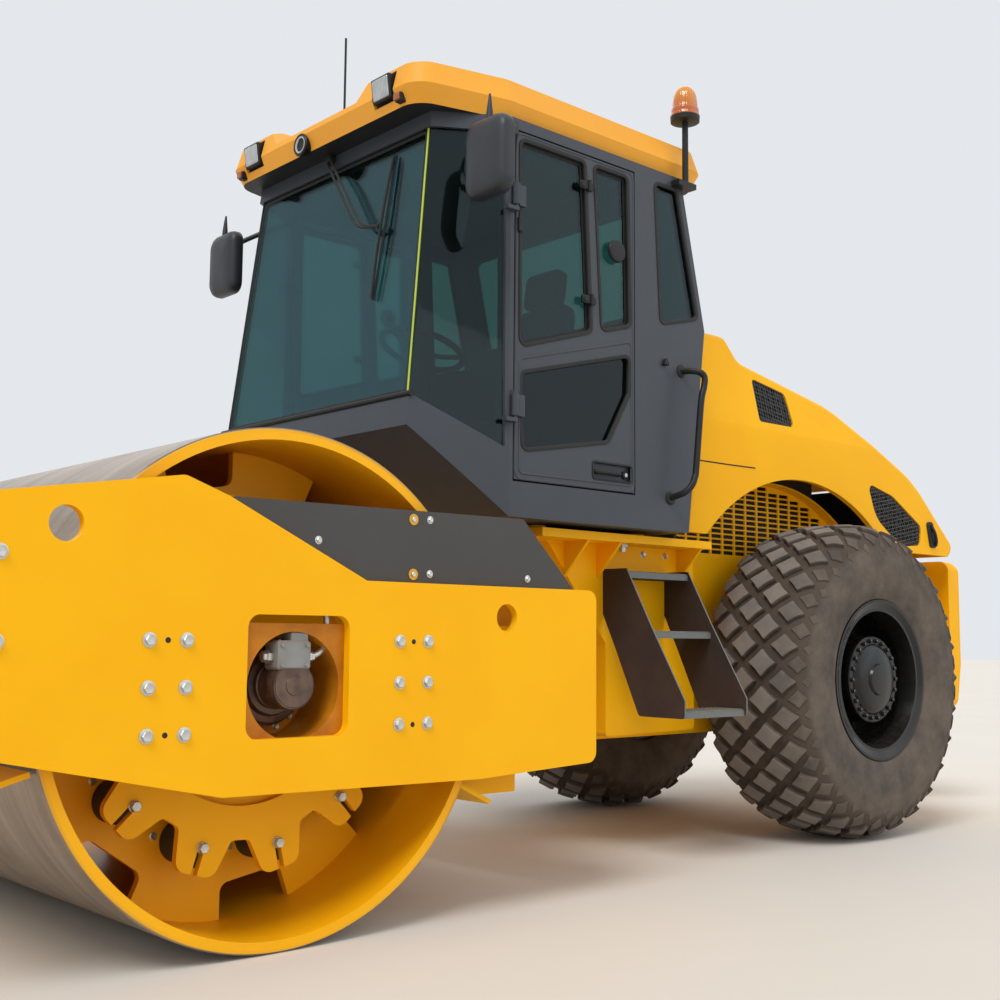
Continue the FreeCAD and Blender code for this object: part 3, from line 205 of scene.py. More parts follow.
def box(low, high, edge=0.004):
    # a block with small bevels: its outline in x and y, lifted through z
    low, high = np.array(low, float), np.array(high, float)
    loop = rounded([(low[0], low[1], edge), (high[0], low[1], edge), (high[0], high[1], edge), (low[0], high[1], edge)], 3)
    tall = high[2] - low[2]
    return filled(loop, [(-edge, 0), (0, edge), (0, tall - edge), (-edge, tall)], onTop(low[2]))


def flipped(shape):
    # the same shape on the machine's other side
    points, quads = shape
    return points * (1, -1, 1), quads[:, ::-1]


def pair(shape):
    return gather([shape, flipped(shape)])


def makePiece(name, shape, material, body, replaces=(), crease=32, heights=None):
    # the points and quads as a mesh with merged poles, outward normals and edges sharp above the crease angle
    points, quads = shape
    mesh = bpy.data.meshes.new(name)
    mesh.from_pydata(points.tolist(), [], quads.tolist())
    if heights is not None:
        mesh.attributes.new("height", "FLOAT", "POINT").data.foreach_set("value", heights.astype(np.float32))
    edit = bmesh.new()
    edit.from_mesh(mesh)
    bmesh.ops.remove_doubles(edit, verts=edit.verts, dist=2e-5)
    bmesh.ops.dissolve_degenerate(edit, dist=1e-6, edges=edit.edges)
    bmesh.ops.recalc_face_normals(edit, faces=edit.faces)
    edit.to_mesh(mesh)
    edit.free()
    mesh.shade_smooth()
    mesh.set_sharp_from_angle(angle=math.radians(crease))
    mesh.materials.append(material)
    piece = bpy.data.objects.new(name, mesh)
    bpy.context.scene.collection.objects.link(piece)
    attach(piece, body)
    if replaces:
        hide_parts(*replaces)
    return piece


# materials

def linear(code, alpha=1.0):
    # an sRGB hex colour as linear light
    values = [int(code[i:i + 2], 16) / 255 for i in (1, 3, 5)]
    return tuple(v / 12.92 if v <= 0.04045 else ((v + 0.055) / 1.055) ** 2.4 for v in values) + (alpha,)


def add(tree, kind, inputs=None, **settings):
    # one node: settings are its own, and each input is a value or a (node, output) link
    made = tree.nodes.new("ShaderNode" + kind)
    for name, value in settings.items():
        setattr(made, name, value)
    for key, value in (inputs or {}).items():
        if isinstance(value, tuple) and isinstance(value[0], bpy.types.Node):
            tree.links.new(value[0].outputs[value[1]], made.inputs[key])
        else:
            made.inputs[key].default_value = value
    return made


def starting(name, values):
    # a material whose shader's sockets are set straight
    made = bpy.data.materials.new(name)
    made.use_nodes = True
    shader = made.node_tree.nodes["Principled BSDF"]
    for socket, value in values.items():
        shader.inputs[socket].default_value = value
    return made, made.node_tree, shader


def finished(name, look, values=None):
    # paint, plastic or rubber: slow cloudy colour, dust that lies on faces looking up and low down, fine grain
    look = {"patchMm": 400, "patchShare": 0.5, "rough": 0.4, "dust": "#9C8A70", "dustTop": 0.2, "dustLow": 0.25,
            "dustHeight": 0.9, "grainMm": 4, "grainDepth": 0.00005, **look}
    made, tree, shader = starting(name, values or {})
    coords = add(tree, "TexCoord")
    place = add(tree, "SeparateXYZ", {0: (coords, "Object")})
    facing = add(tree, "SeparateXYZ", {0: (coords, "Normal")})
    cloud = add(tree, "TexNoise", {"Vector": (coords, "Object"), "Scale": 1000 / look["patchMm"], "Detail": 4.0})
    patch = add(tree, "MapRange", {0: (cloud, 0), 1: 0.38, 2: 0.66, 3: 0.0, 4: look["patchShare"]})
    paint = add(tree, "Mix", {0: (patch, 0), 6: linear(look["colour"]), 7: linear(look["patch"])}, data_type="RGBA")
    # faces that look down take the underside colour: on the roof this is painted shade
    if "underside" in look:
        below = add(tree, "MapRange", {0: (facing, "Z"), 1: -0.85, 2: -0.95})
        paint = add(tree, "Mix", {0: (below, 0), 6: (paint, 2), 7: linear(look["underside"])}, data_type="RGBA")
    # faces that look outwards take the outward colour; on the steps this is partly grey paint and partly a painted
    # highlight along lit edges
    if "outward" in look:
        side = add(tree, "Math", {0: (facing, "Y")}, operation="ABSOLUTE")
        edge = add(tree, "MapRange", {0: (side, 0), 1: 0.6, 2: 0.85})
        paint = add(tree, "Mix", {0: (edge, 0), 6: (paint, 2), 7: linear(look["outward"])}, data_type="RGBA")
    speckle = add(tree, "TexNoise", {"Vector": (coords, "Object"), "Scale": 22.0, "Detail": 6.0, "Roughness": 0.65})
    breaks = add(tree, "MapRange", {0: (speckle, 0), 1: 0.35, 2: 0.72})
    above = add(tree, "MapRange", {0: (facing, "Z"), 1: 0.35, 2: 0.95, 3: 0.0, 4: look["dustTop"]})
    below = add(tree, "MapRange", {0: (place, "Z"), 1: look["dustHeight"], 2: 0.0, 3: 0.0, 4: look["dustLow"]})
    settled = add(tree, "Math", {0: (above, 0), 1: (below, 0)}, operation="ADD")
    broken = add(tree, "Math", {0: (breaks, 0), 1: 0.6, 2: 0.4}, operation="MULTIPLY_ADD")
    dust = add(tree, "Math", {0: (settled, 0), 1: (broken, 0)}, operation="MULTIPLY", use_clamp=True)
    colour = add(tree, "Mix", {0: (dust, 0), 6: (paint, 2), 7: linear(look["dust"])}, data_type="RGBA")
    dulled = add(tree, "Math", {0: (dust, 0), 1: 0.45, 2: look["rough"]}, operation="MULTIPLY_ADD")
    rough = add(tree, "Math", {0: (breaks, 0), 1: 0.08, 2: (dulled, 0)}, operation="MULTIPLY_ADD", use_clamp=True)
    grain = add(tree, "TexNoise", {"Vector": (coords, "Object"), "Scale": 1000 / look["grainMm"], "Detail": 3.0})
    bump = add(tree, "Bump", {"Height": (grain, 0), "Distance": look["grainDepth"], "Strength": 1.0})
    tree.links.new(colour.outputs[2], shader.inputs["Base Color"])
    tree.links.new(rough.outputs[0], shader.inputs["Roughness"])
    tree.links.new(bump.outputs[0], shader.inputs["Normal"])
    return made


# stoved alkyd enamel on steel: warm strong yellow, a soft sheen and a faint orange peel (drawn at 6 mm)
yellowEnamel = finished("yellow_enamel", {"colour": "#FFBC02", "patch": "#FAB102", "rough": 0.42, "dustTop": 0.05,
                                          "dustLow": 0.05, "dust": "#C9A565", "grainMm": 6},
                        {"Specular IOR Level": 0.15, "Coat Weight": 0.04, "Coat Roughness": 0.15})
# the roof is glass-fibre gelcoat: a little paler and flatter than the enamel; its more orange-tan tone is painted
# shade, and its underside is painted dark as shade
gelcoat = finished("yellow_gelcoat", {"colour": "#F6AE3C", "patch": "#EDA334", "rough": 0.45, "dustTop": 0.15,
                                      "dust": "#CFAE7C", "grainMm": 9, "underside": "#25272B"}, {"Specular IOR Level": 0.25})
# blue-grey satin enamel of the cab
cabEnamel = finished("blue_grey_enamel", {"colour": "#41464E", "patch": "#3B4047", "rough": 0.42, "dustTop": 0.2,
                                          "dustLow": 0.06, "dust": "#8D8273"},
                     {"Specular IOR Level": 0.3, "Coat Weight": 0.08, "Coat Roughness": 0.25})
# powder coat: near black with a fine sandy texture
powderCoat = finished("charcoal_powder_coat", {"colour": "#403F3E", "patch": "#3A3836", "rough": 0.5, "dustTop": 0.25,
                                               "dustLow": 0.4, "dust": "#7A6654", "grainMm": 2.5, "grainDepth": 0.0001})
# steps get muddy boots, so their powder coat is browner; faces that look outwards are paler grey, partly the treads'
# grey paint and partly a painted highlight along lit edges
stepCoat = finished("muddy_powder_coat", {"colour": "#312927", "patch": "#40302A", "patchMm": 160, "patchShare": 0.8, "rough": 0.55,
                                          "dustTop": 0.4, "dustLow": 0.2, "dustHeight": 1.5, "dust": "#75685B", "outward": "#707676"},
                    {"Specular IOR Level": 0.3})
# grey machinery enamel over cast housings
machineryEnamel = finished("grey_machinery_enamel", {"colour": "#8B8D8C", "patch": "#77716A", "patchMm": 90, "rough": 0.42,
                                                     "dustTop": 0.35, "dustLow": 0.35, "grainMm": 5, "grainDepth": 0.0004})
# sand-cast iron, unpainted, dull and pitted
castIron = finished("sand_cast_iron", {"colour": "#3B3A38", "patch": "#4E4238", "patchMm": 120, "rough": 0.62, "grainMm": 4,
                                       "grainDepth": 0.0008, "dustTop": 0.4}, {"Metallic": 0.35})
# vulcanised rubber of the drum's buffers: matt black, slightly bloomed
bufferRubber = finished("buffer_rubber", {"colour": "#1E1D1C", "patch": "#2A2826", "patchMm": 60, "rough": 0.75, "dustTop": 0.3})
# gloss black wheel enamel
rimEnamel = finished("gloss_black_enamel", {"colour": "#131313", "patch": "#191817", "rough": 0.2, "dustTop": 0.1, "dustLow": 0.03,
                                            "dustHeight": 1.2, "dust": "#6F6459", "grainMm": 12},
                     {"Specular IOR Level": 0.3, "Coat Weight": 0.12, "Coat Roughness": 0.05})
# injection-moulded ABS with spark-eroded grain
blackPlastic = finished("black_abs", {"colour": "#18191B", "patch": "#1E1F21", "rough": 0.45, "dustTop": 0.18, "dustLow": 0.0,
                                      "grainMm": 1.6, "grainDepth": 0.00012}, {"Specular IOR Level": 0.35})
# the mirrors' shells are a paler slate-coloured moulding
slatePlastic = finished("slate_polypropylene", {"colour": "#2E3238", "patch": "#292C32", "rough": 0.4, "dustTop": 0.2, "dustLow": 0.0,
                                                "grainMm": 1.6, "grainDepth": 0.00012}, {"Specular IOR Level": 0.4})
# extruded EPDM seals and wiper rubber
sealRubber = finished("black_epdm", {"colour": "#141414", "patch": "#1B1A19", "rough": 0.6, "dustTop": 0.2, "dustLow": 0.0})
# the lime-green gasket between windscreen and corner pane
limeRubber = finished("lime_silicone", {"colour": "#B9CC4A", "patch": "#AEC044", "rough": 0.4, "dustTop": 0.1, "dustLow": 0.0})
# bright zinc plating on bolts, pipes and washers: pale, a little cloudy
zincPlate = finished("zinc_plated_steel", {"colour": "#C9CBC8", "patch": "#B4B3AC", "patchMm": 12, "rough": 0.3, "dustTop": 0.2,
                                           "dustLow": 0.15}, {"Metallic": 0.85})
# yellow-passivated washers
yellowZinc = finished("yellow_passivated_zinc", {"colour": "#D9A63C", "patch": "#C8922F", "patchMm": 10, "rough": 0.35}, {"Metallic": 0.6})
# oily, dusty bronze-brown cast cover of the drum's motor
oiledCasting = finished("oiled_casting", {"colour": "#6A5548", "patch": "#4B3D35", "patchMm": 40, "patchShare": 0.9, "rough": 0.28,
                                          "dustTop": 0.3, "dustLow": 0.1, "grainDepth": 0.0005}, {"Metallic": 0.4})
# galvanised open grating on the treads
gratingSteel = finished("worn_grating_steel", {"colour": "#85827D", "patch": "#6B655E", "patchMm": 60, "rough": 0.45,
                                               "dustTop": 0.3, "dustLow": 0.2}, {"Metallic": 0.5})
# black perforated plate behind the vents
meshSteel = finished("black_mesh_steel", {"colour": "#1C1C1D", "patch": "#242322", "rough": 0.5, "dustTop": 0.2, "dustLow": 0.0},
                     {"Specular IOR Level": 0.3})
# woven wire over it, greyer where dust has caught
wireSteel = finished("grey_vent_wire", {"colour": "#55585B", "patch": "#6B6A67", "patchMm": 25, "rough": 0.4, "dustTop": 0.3, "dustLow": 0.0})
# fine black cloth that closes the vents from inside: painted shade standing in for the dark inside of the hood
ventShadeCloth = finished("black_filter_cloth", {"colour": "#0E0E0F", "patch": "#151515", "patchMm": 8, "rough": 0.9, "dustTop": 0.1,
                                              "dustLow": 0.0, "grainMm": 3, "grainDepth": 0.0006}, {"Specular IOR Level": 0.1})
# smoked brown turn-lamp lens
brownLens = finished("amber_brown_polycarbonate", {"colour": "#A8612A", "patch": "#8F4E20", "rough": 0.18, "dustTop": 0.1, "dustLow": 0.0})


def hardChrome():
    # ground and plated piston rod: mirror bright, drawn with faint rings every 3 mm round its length
    made, tree, shader = starting("hard_chrome", {"Base Color": linear("#C8CACC"), "Metallic": 1.0})
    coords = add(tree, "TexCoord")
    rings = add(tree, "TexWave", {"Vector": (coords, "Object"), "Scale": 50.0, "Distortion": 0.4}, bands_direction="X")
    rough = add(tree, "MapRange", {0: (rings, 1), 3: 0.08, 4: 0.16})
    bump = add(tree, "Bump", {"Height": (rings, 1), "Distance": 0.00001})
    tree.links.new(rough.outputs[0], shader.inputs["Roughness"])
    tree.links.new(bump.outputs[0], shader.inputs["Normal"])
    return made


def rolledDrum():
    # the shell's outer face is bare rolled steel, ground by soil into streaks that run round it; all else is enamel
    axle = (1.920, 0.800)
    made, tree, shader = starting("worn_drum_steel", {"Specular IOR Level": 0.25})
    coords = add(tree, "TexCoord")
    place = add(tree, "SeparateXYZ", {0: (coords, "Object")})
    ahead = add(tree, "Math", {0: (place, "X"), 1: axle[0]}, operation="SUBTRACT")
    rise = add(tree, "Math", {0: (place, "Z"), 1: axle[1]}, operation="SUBTRACT")
    across = add(tree, "CombineXYZ", {0: (ahead, 0), 1: (rise, 0)})
    radius = add(tree, "VectorMath", {0: (across, 0)}, operation="LENGTH")
    turn = add(tree, "Math", {0: (rise, 0), 1: (ahead, 0)}, operation="ARCTAN2")
    bare = add(tree, "MapRange", {0: (radius, "Value"), 1: 0.7945, 2: 0.7965})
    # streaks: 5 mm wide across the drum, drawn out to about 400 mm round it
    band = add(tree, "CombineXYZ", {0: (turn, 0), 1: (place, "Y"), 2: (radius, "Value")})
    drawn = add(tree, "Mapping", {0: (band, 0), "Scale": (2.0, 190.0, 0.0)})
    streak = add(tree, "TexNoise", {"Vector": (drawn, 0), "Scale": 1.0, "Detail": 5.0, "Roughness": 0.6})
    wide = add(tree, "Mapping", {0: (band, 0), "Scale": (1.3, 14.0, 0.0)})
    worn = add(tree, "TexNoise", {"Vector": (wide, 0), "Scale": 1.0, "Detail": 4.0})
    cloud = add(tree, "TexNoise", {"Vector": (coords, "Object"), "Scale": 3.0, "Detail": 6.0, "Roughness": 0.6})
    low = add(tree, "MapRange", {0: (worn, 0), 1: 0.35, 2: 0.65})
    steel = add(tree, "Mix", {0: (low, 0), 6: linear("#857768"), 7: linear("#A39484")}, data_type="RGBA")
    fine = add(tree, "MapRange", {0: (streak, 0), 1: 0.42, 2: 0.7, 4: 0.4})
    light = add(tree, "Mix", {0: (fine, 0), 6: (steel, 2), 7: linear("#BFB3A3")}, data_type="RGBA")
    rust = add(tree, "MapRange", {0: (cloud, 0), 1: 0.50, 2: 0.75, 4: 0.6})
    shell = add(tree, "Mix", {0: (rust, 0), 6: (light, 2), 7: linear("#6C523C")}, data_type="RGBA")
    drift = add(tree, "MapRange", {0: (cloud, 0), 1: 0.45, 2: 0.72, 4: 0.2})
    paint = add(tree, "Mix", {0: (drift, 0), 6: linear("#FFB90A"), 7: linear("#E59F12")}, data_type="RGBA")
    # the rolled edge of the paint is rubbed through to a brown line
    rubbed = add(tree, "MapRange", {0: (radius, "Value"), 1: 0.783, 2: 0.796, 4: 0.55})
    edge = add(tree, "Math", {0: (rubbed, 0), 1: (low, 0)}, operation="MULTIPLY")
    edged = add(tree, "Mix", {0: (edge, 0), 6: (paint, 2), 7: linear("#9B7A4E")}, data_type="RGBA")
    colour = add(tree, "Mix", {0: (bare, 0), 6: (edged, 2), 7: (shell, 2)}, data_type="RGBA")
    rough = add(tree, "MapRange", {0: (streak, 0), 1: 0.3, 2: 0.7, 3: 0.32, 4: 0.5})
    metal = add(tree, "Math", {0: (bare, 0), 1: 0.7}, operation="MULTIPLY")
    bump = add(tree, "Bump", {"Height": (streak, 0), "Distance": 0.0004, "Strength": 0.6})
    tree.links.new(colour.outputs[2], shader.inputs["Base Color"])
    tree.links.new(rough.outputs[0], shader.inputs["Roughness"])
    tree.links.new(metal.outputs[0], shader.inputs["Metallic"])
    tree.links.new(bump.outputs[0], shader.inputs["Normal"])
    return made


def dustyTyre():
    # natural rubber: earth lies on the wall, the grooves and the lugs' feet are darker brown, partly from earth and
    # partly as painted shade, and the lugs' worn tops are greyer and paler
    made, tree, shader = starting("dusty_tyre_rubber", {"Specular IOR Level": 0.3})
    coords = add(tree, "TexCoord")
    height = add(tree, "Attribute", {}, attribute_name="height")
    cloud = add(tree, "TexNoise", {"Vector": (coords, "Object"), "Scale": 7.0, "Detail": 6.0, "Roughness": 0.62})
    fine = add(tree, "TexNoise", {"Vector": (coords, "Object"), "Scale": 90.0, "Detail": 4.0, "Roughness": 0.7})
    earth = add(tree, "MapRange", {0: (cloud, 0), 1: 0.35, 2: 0.68})
    wall = add(tree, "Mix", {0: (earth, 0), 6: linear("#4E4843"), 7: linear("#6C6055")}, data_type="RGBA")
    worn = add(tree, "Mix", {0: (earth, 0), 6: linear("#746F6B"), 7: linear("#8A8179")}, data_type="RGBA")
    top = add(tree, "MapRange", {0: (height, "Fac"), 1: 0.75, 2: 1.0})
    rubber = add(tree, "Mix", {0: (top, 0), 6: (wall, 2), 7: (worn, 2)}, data_type="RGBA")
    # the grooves and the lugs' feet, marked low, turn darker brown: partly earth, partly painted shade
    groove = add(tree, "MapRange", {0: (height, "Fac"), 1: 0.45, 2: 0.05, 3: 0.0, 4: 0.75})
    colour = add(tree, "Mix", {0: (groove, 0), 6: (rubber, 2), 7: linear("#4C4037")}, data_type="RGBA")
    rough = add(tree, "MapRange", {0: (fine, 0), 3: 0.7, 4: 0.95})
    bump = add(tree, "Bump", {"Height": (fine, 0), "Distance": 0.0012, "Strength": 0.6})
    tree.links.new(colour.outputs[2], shader.inputs["Base Color"])
    tree.links.new(rough.outputs[0], shader.inputs["Roughness"])
    tree.links.new(bump.outputs[0], shader.inputs["Normal"])
    return made


def tintedGlass(name, tint, gloss, dirt, smoked=None):
    # toughened glass with a blue-green tint: lets light through coloured, mirrors more at the rim of sight, with a dusty
    # bloom; a smoked tint takes over below the door's waist, the line z + 0.273 x = 2.244
    made, tree, shader = starting(name, {"Base Color": linear("#8A9894"), "Roughness": 0.6})
    coords = add(tree, "TexCoord")
    bloom = add(tree, "TexNoise", {"Vector": (coords, "Object"), "Scale": 2.2, "Detail": 5.0})
    dusty = add(tree, "MapRange", {0: (bloom, 0), 1: 0.4, 2: 0.7, 3: dirt * 0.4, 4: dirt})
    place = add(tree, "SeparateXYZ", {0: (coords, "Object")})
    height = add(tree, "Math", {0: (place, "X"), 1: 0.273, 2: (place, "Z")}, operation="MULTIPLY_ADD")
    low = add(tree, "MapRange", {0: (height, 0), 1: 2.248, 2: 2.240})
    shade =add(tree, "Mix", {0: (low, 0), 6: linear(tint), 7: linear(smoked or tint)}, data_type="RGBA")
    through = add(tree, "BsdfTransparent", {"Color": (shade, 2)})
    wave = add(tree, "Bump", {"Height": (bloom, 0), "Distance": 0.0006, "Strength": 0.3})
    mirror = add(tree, "BsdfGlossy", {"Color": (0.62, 0.72, 0.80, 1), "Roughness": 0.02, "Normal": (wave, 0)})
    rim = add(tree, "LayerWeight", {"Blend": 0.18})
    share = add(tree, "MapRange", {0: (rim, "Fresnel"), 1: 0.0, 2: 1.0, 3: gloss, 4: 0.6})
    pane = add(tree, "MixShader", {0: (share, 0), 1: (through, 0), 2: (mirror, 0)})
    covered = add(tree, "MixShader", {0: (dusty, 0), 1: (pane, 0), 2: (shader, 0)})
    tree.links.new(covered.outputs[0], tree.nodes["Material Output"].inputs[0])
    return made


def wovenFabric():
    # hard-wearing seat cloth: plain weave drawn at 4 mm so that it shows, charcoal with a blue fleck and a soft sheen
    made, tree, shader = starting("charcoal_woven_cloth", {"Sheen Weight": 0.3, "Sheen Roughness": 0.5, "Roughness": 0.9})
    coords = add(tree, "TexCoord")
    warp = add(tree, "TexWave", {"Vector": (coords, "Object"), "Scale": 40.0, "Distortion": 0.5}, bands_direction="Y")
    weft = add(tree, "TexWave", {"Vector": (coords, "Object"), "Scale": 40.0, "Distortion": 0.5}, bands_direction="DIAGONAL")
    thread = add(tree, "Math", {0: (warp, 1), 1: (weft, 1)}, operation="MULTIPLY")
    fleck = add(tree, "TexNoise", {"Vector": (coords, "Object"), "Scale": 160.0, "Detail": 2.0})
    cloth = add(tree, "Mix", {0: (thread, 0), 6: linear("#1E1F22"), 7: linear("#33353A")}, data_type="RGBA")
    spot = add(tree, "MapRange", {0: (fleck, 0), 1: 0.6, 2: 0.7, 4: 0.4})
    colour = add(tree, "Mix", {0: (spot, 0), 6: (cloth, 2), 7: linear("#4A5568")}, data_type="RGBA")
    bump = add(tree, "Bump", {"Height": (thread, 0), "Distance": 0.0006})
    tree.links.new(colour.outputs[2], shader.inputs["Base Color"])
    tree.links.new(bump.outputs[0], shader.inputs["Normal"])
    return made


def amberDome():
    # amber acrylic beacon: deep orange at its foot, paler towards the crown, ribbed inside every 12 degrees
    centre = (-0.265, 0.842)
    made, tree, shader = starting("amber_acrylic", {"Roughness": 0.12, "Coat Weight": 0.5, "Subsurface Weight": 0.15,
                                                    "Subsurface Radius": (0.02, 0.008, 0.002), "Transmission Weight": 0.15})
    coords = add(tree, "TexCoord")
    place = add(tree, "SeparateXYZ", {0: (coords, "Object")})
    a = add(tree, "Math", {0: (place, "X"), 1: centre[0]}, operation="SUBTRACT")
    b = add(tree, "Math", {0: (place, "Y"), 1: centre[1]}, operation="SUBTRACT")
    turn = add(tree, "Math", {0: (b, 0), 1: (a, 0)}, operation="ARCTAN2")
    many = add(tree, "Math", {0: (turn, 0), 1: 30.0}, operation="MULTIPLY")
    rib = add(tree, "Math", {0: (many, 0)}, operation="SINE")
    high = add(tree, "MapRange", {0: (place, "Z"), 1: 3.33, 2: 3.43})
    body = add(tree, "Mix", {0: (high, 0), 6: linear("#C4641A"), 7: linear("#F2A428")}, data_type="RGBA")
    share = add(tree, "MapRange", {0: (rib, 0), 1: -1.0, 2: 1.0, 4: 0.35})
    colour = add(tree, "Mix", {0: (share, 0), 6: (body, 2), 7: linear("#B4560E")}, data_type="RGBA")
    bump = add(tree, "Bump", {"Height": (rib, 0), "Distance": 0.0004})
    tree.links.new(colour.outputs[2], shader.inputs["Base Color"])
    tree.links.new(bump.outputs[0], shader.inputs["Normal"])
    return made


def fluted(name, colour, dark, pitchMm, values):
    # a moulded lens: upright flutes at their real pitch, pale with darker bands along the flutes; on the lamp glass the
    # pale colour is a painted reflection of a bright reflector behind it
    made, tree, shader = starting(name, values)
    coords = add(tree, "TexCoord")
    flutes = add(tree, "TexWave", {"Vector": (coords, "Object"), "Scale": 1000 / pitchMm / 6.283 * 2}, bands_direction="Y")
    cloud = add(tree, "TexNoise", {"Vector": (coords, "Object"), "Scale": 30.0})
    share = add(tree, "Math", {0: (flutes, 1), 1: (cloud, 0)}, operation="MULTIPLY")
    mixed = add(tree, "Mix", {0: (share, 0), 6: linear(dark), 7: linear(colour)}, data_type="RGBA")
    bump = add(tree, "Bump", {"Height": (flutes, 1), "Distance": 0.0008})
    tree.links.new(mixed.outputs[2], shader.inputs["Base Color"])
    tree.links.new(bump.outputs[0], shader.inputs["Normal"])
    return made


def motorHousing():
    # the drive's carrier is enamelled like the frame, its yellow painted a darker orange-brown as shade; the cast cover
    # at its heart is bare
    axle = (1.920, 0.800)
    made, tree, shader = starting("yellow_carrier_enamel", {"Specular IOR Level": 0.25})
    coords = add(tree, "TexCoord")
    place = add(tree, "SeparateXYZ", {0: (coords, "Object")})
    ahead = add(tree, "Math", {0: (place, "X"), 1: axle[0]}, operation="SUBTRACT")
    rise = add(tree, "Math", {0: (place, "Z"), 1: axle[1]}, operation="SUBTRACT")
    across = add(tree, "CombineXYZ", {0: (ahead, 0), 1: (rise, 0)})
    radius = add(tree, "VectorMath", {0: (across, 0)}, operation="LENGTH")
    painted = add(tree, "MapRange", {0: (radius, "Value"), 1: 0.1265, 2: 0.1285})
    cloud = add(tree, "TexNoise", {"Vector": (coords, "Object"), "Scale": 9.0, "Detail": 6.0})
    oilAndShadeMottle = add(tree, "MapRange", {0: (cloud, 0), 1: 0.35, 2: 0.65})
    cover = add(tree, "Mix", {0: (oilAndShadeMottle, 0), 6: linear("#6A5548"), 7: linear("#43362F")}, data_type="RGBA")
    # the carrier's enamel in two darker orange-brown tones: painted shade, mottled by the same cloud as the cover's oil
    enamel = add(tree, "Mix", {0: (oilAndShadeMottle, 0), 6: linear("#C97F14"), 7: linear("#A8640F")}, data_type="RGBA")
    colour = add(tree, "Mix", {0: (painted, 0), 6: (cover, 2), 7: (enamel, 2)}, data_type="RGBA")
    rough = add(tree, "MapRange", {0: (cloud, 0), 3: 0.3, 4: 0.55})
    bump = add(tree, "Bump", {"Height": (cloud, 0), "Distance": 0.001, "Strength": 0.4})
    tree.links.new(colour.outputs[2], shader.inputs["Base Color"])
    tree.links.new(rough.outputs[0], shader.inputs["Roughness"])
    tree.links.new(bump.outputs[0], shader.inputs["Normal"])
    return made


chrome = hardChrome()
drumSteel = rolledDrum()
tyreRubber = dustyTyre()
carrierEnamel = motorHousing()
cabGlass = tintedGlass("green_tinted_glass", "#9DBDB9", 0.03, 0.008)
doorGlass = tintedGlass("green_door_glass", "#9DBDB9", 0.03, 0.008, "#39403F")
windscreenGlass = tintedGlass("windscreen_glass", "#A3C4C2", 0.03, 0.008)
seatCloth = wovenFabric()
amber = amberDome()
# the work lamps' glass is an opaque pale colour: a painted reflection of the reflector behind it
lampGlass = fluted("clear_lamp_glass", "#F2F3F0", "#8E9496", 9, {"Roughness": 0.08, "Metallic": 0.3, "Coat Weight": 0.8})
mirrorFilm = fluted("silvered_mirror", "#D5DADD", "#CDD3D6", 40, {"Roughness": 0.03, "Metallic": 1.0})

nodeFinish = {
    "chassis": yellowEnamel, "bumper": yellowEnamel, "rear_axle": machineryEnamel, "engine": castIron,
    "bulkhead": powderCoat, "bay_lattices": yellowEnamel, "cab_frame": cabEnamel, "cab_floor": cabEnamel,
    "cab_roof": gelcoat, "roof_fittings": blackPlastic, "windscreen": windscreenGlass, "side_rear_glass": cabGlass,
    "seat": seatCloth, "console": blackPlastic, "beacon": amber, "mirrors": blackPlastic, "handrails": blackPlastic,
    "steps": stepCoat, "cylinder_anchors": yellowEnamel, "front_beam": yellowEnamel, "rear_beam": yellowEnamel,
    "scraper_front": yellowEnamel, "scraper_rear": yellowEnamel, "side_plate": yellowEnamel,
    "travel_motors": carrierEnamel, "guards": powderCoat, "steer_block": yellowEnamel, "drum": drumSteel,
    "rubber_buffers": bufferRubber, "drive_plates": yellowEnamel, "hood": yellowEnamel, "hood_grilles": meshSteel,
    "rim": rimEnamel, "tyre": tyreRubber, "door": cabEnamel, "door_glass": doorGlass, "steer_barrel": powderCoat,
    "steer_rod": chrome,
}
for name, node in nodes.items():
    finish = nodeFinish[name] if name in nodeFinish else nodeFinish[name.replace("_left", "").replace("_right", "")]
    for i in range(len(node.material_slots)):
        node.material_slots[i].material = finish
    if not node.material_slots:
        node.data.materials.append(finish)
print("finishes set on the packed nodes")

# tyres

tyre = {"centre": (-1.480, 0.775, 0.765), "lugsRound": 28, "lugHeight": 0.028,
        "halfRound": 0.068, "halfAcross": 0.075, "columns": 336,
        # each row of lugs: how far it stands from the crown along the rubber, its height, its size, its worn top
        "rows": {"middle": (0.0, 0.106, 0.202, 0.266, 0.316), "height": (1.0, 1.0, 0.72, 0.24, 0.08),
                 "size": (1.0, 1.0, 0.88, 0.66, 0.42), "worn": (1.0, 1.0, 0.86, 0.6, 0.6)},
        "profile": [(0.000, 0.737), (0.070, 0.736), (0.140, 0.732), (0.205, 0.720), (0.248, 0.697), (0.274, 0.662),
                    (0.288, 0.615), (0.2925, 0.560), (0.290, 0.505), (0.281, 0.455), (0.270, 0.425), (0.266, 0.405),
                    (0.256, 0.3905)],
        "bead": [(0.2347, 0.3885), (0.2347, 0.3453)]}


def tyreSurface():
    # the half profile eased into a curve by arc length: s -> (y, r) and its outward normal
    half = eased(tyre["profile"], 8)
    length = np.concatenate([[0], np.cumsum(np.linalg.norm(np.diff(half, axis=0), axis=1))])

    def at(s):
        side = np.where(s < 0, -1.0, 1.0)
        y = np.interp(np.abs(s), length, half[:, 0])
        r = np.interp(np.abs(s), length, half[:, 1])
        e = 0.004
        dy = np.interp(np.abs(s) + e, length, half[:, 0]) - np.interp(np.abs(s) - e, length, half[:, 0])
        dr = np.interp(np.abs(s) + e, length, half[:, 1]) - np.interp(np.abs(s) - e, length, half[:, 1])
        dy, dr = np.where(np.abs(s) < 2 * e, 1.0, dy), np.where(np.abs(s) < 2 * e, 0.0, dr)
        size = np.hypot(dy, dr)
        return side * y, r, side * -dr / size, dy / size
    return at, length[-1]


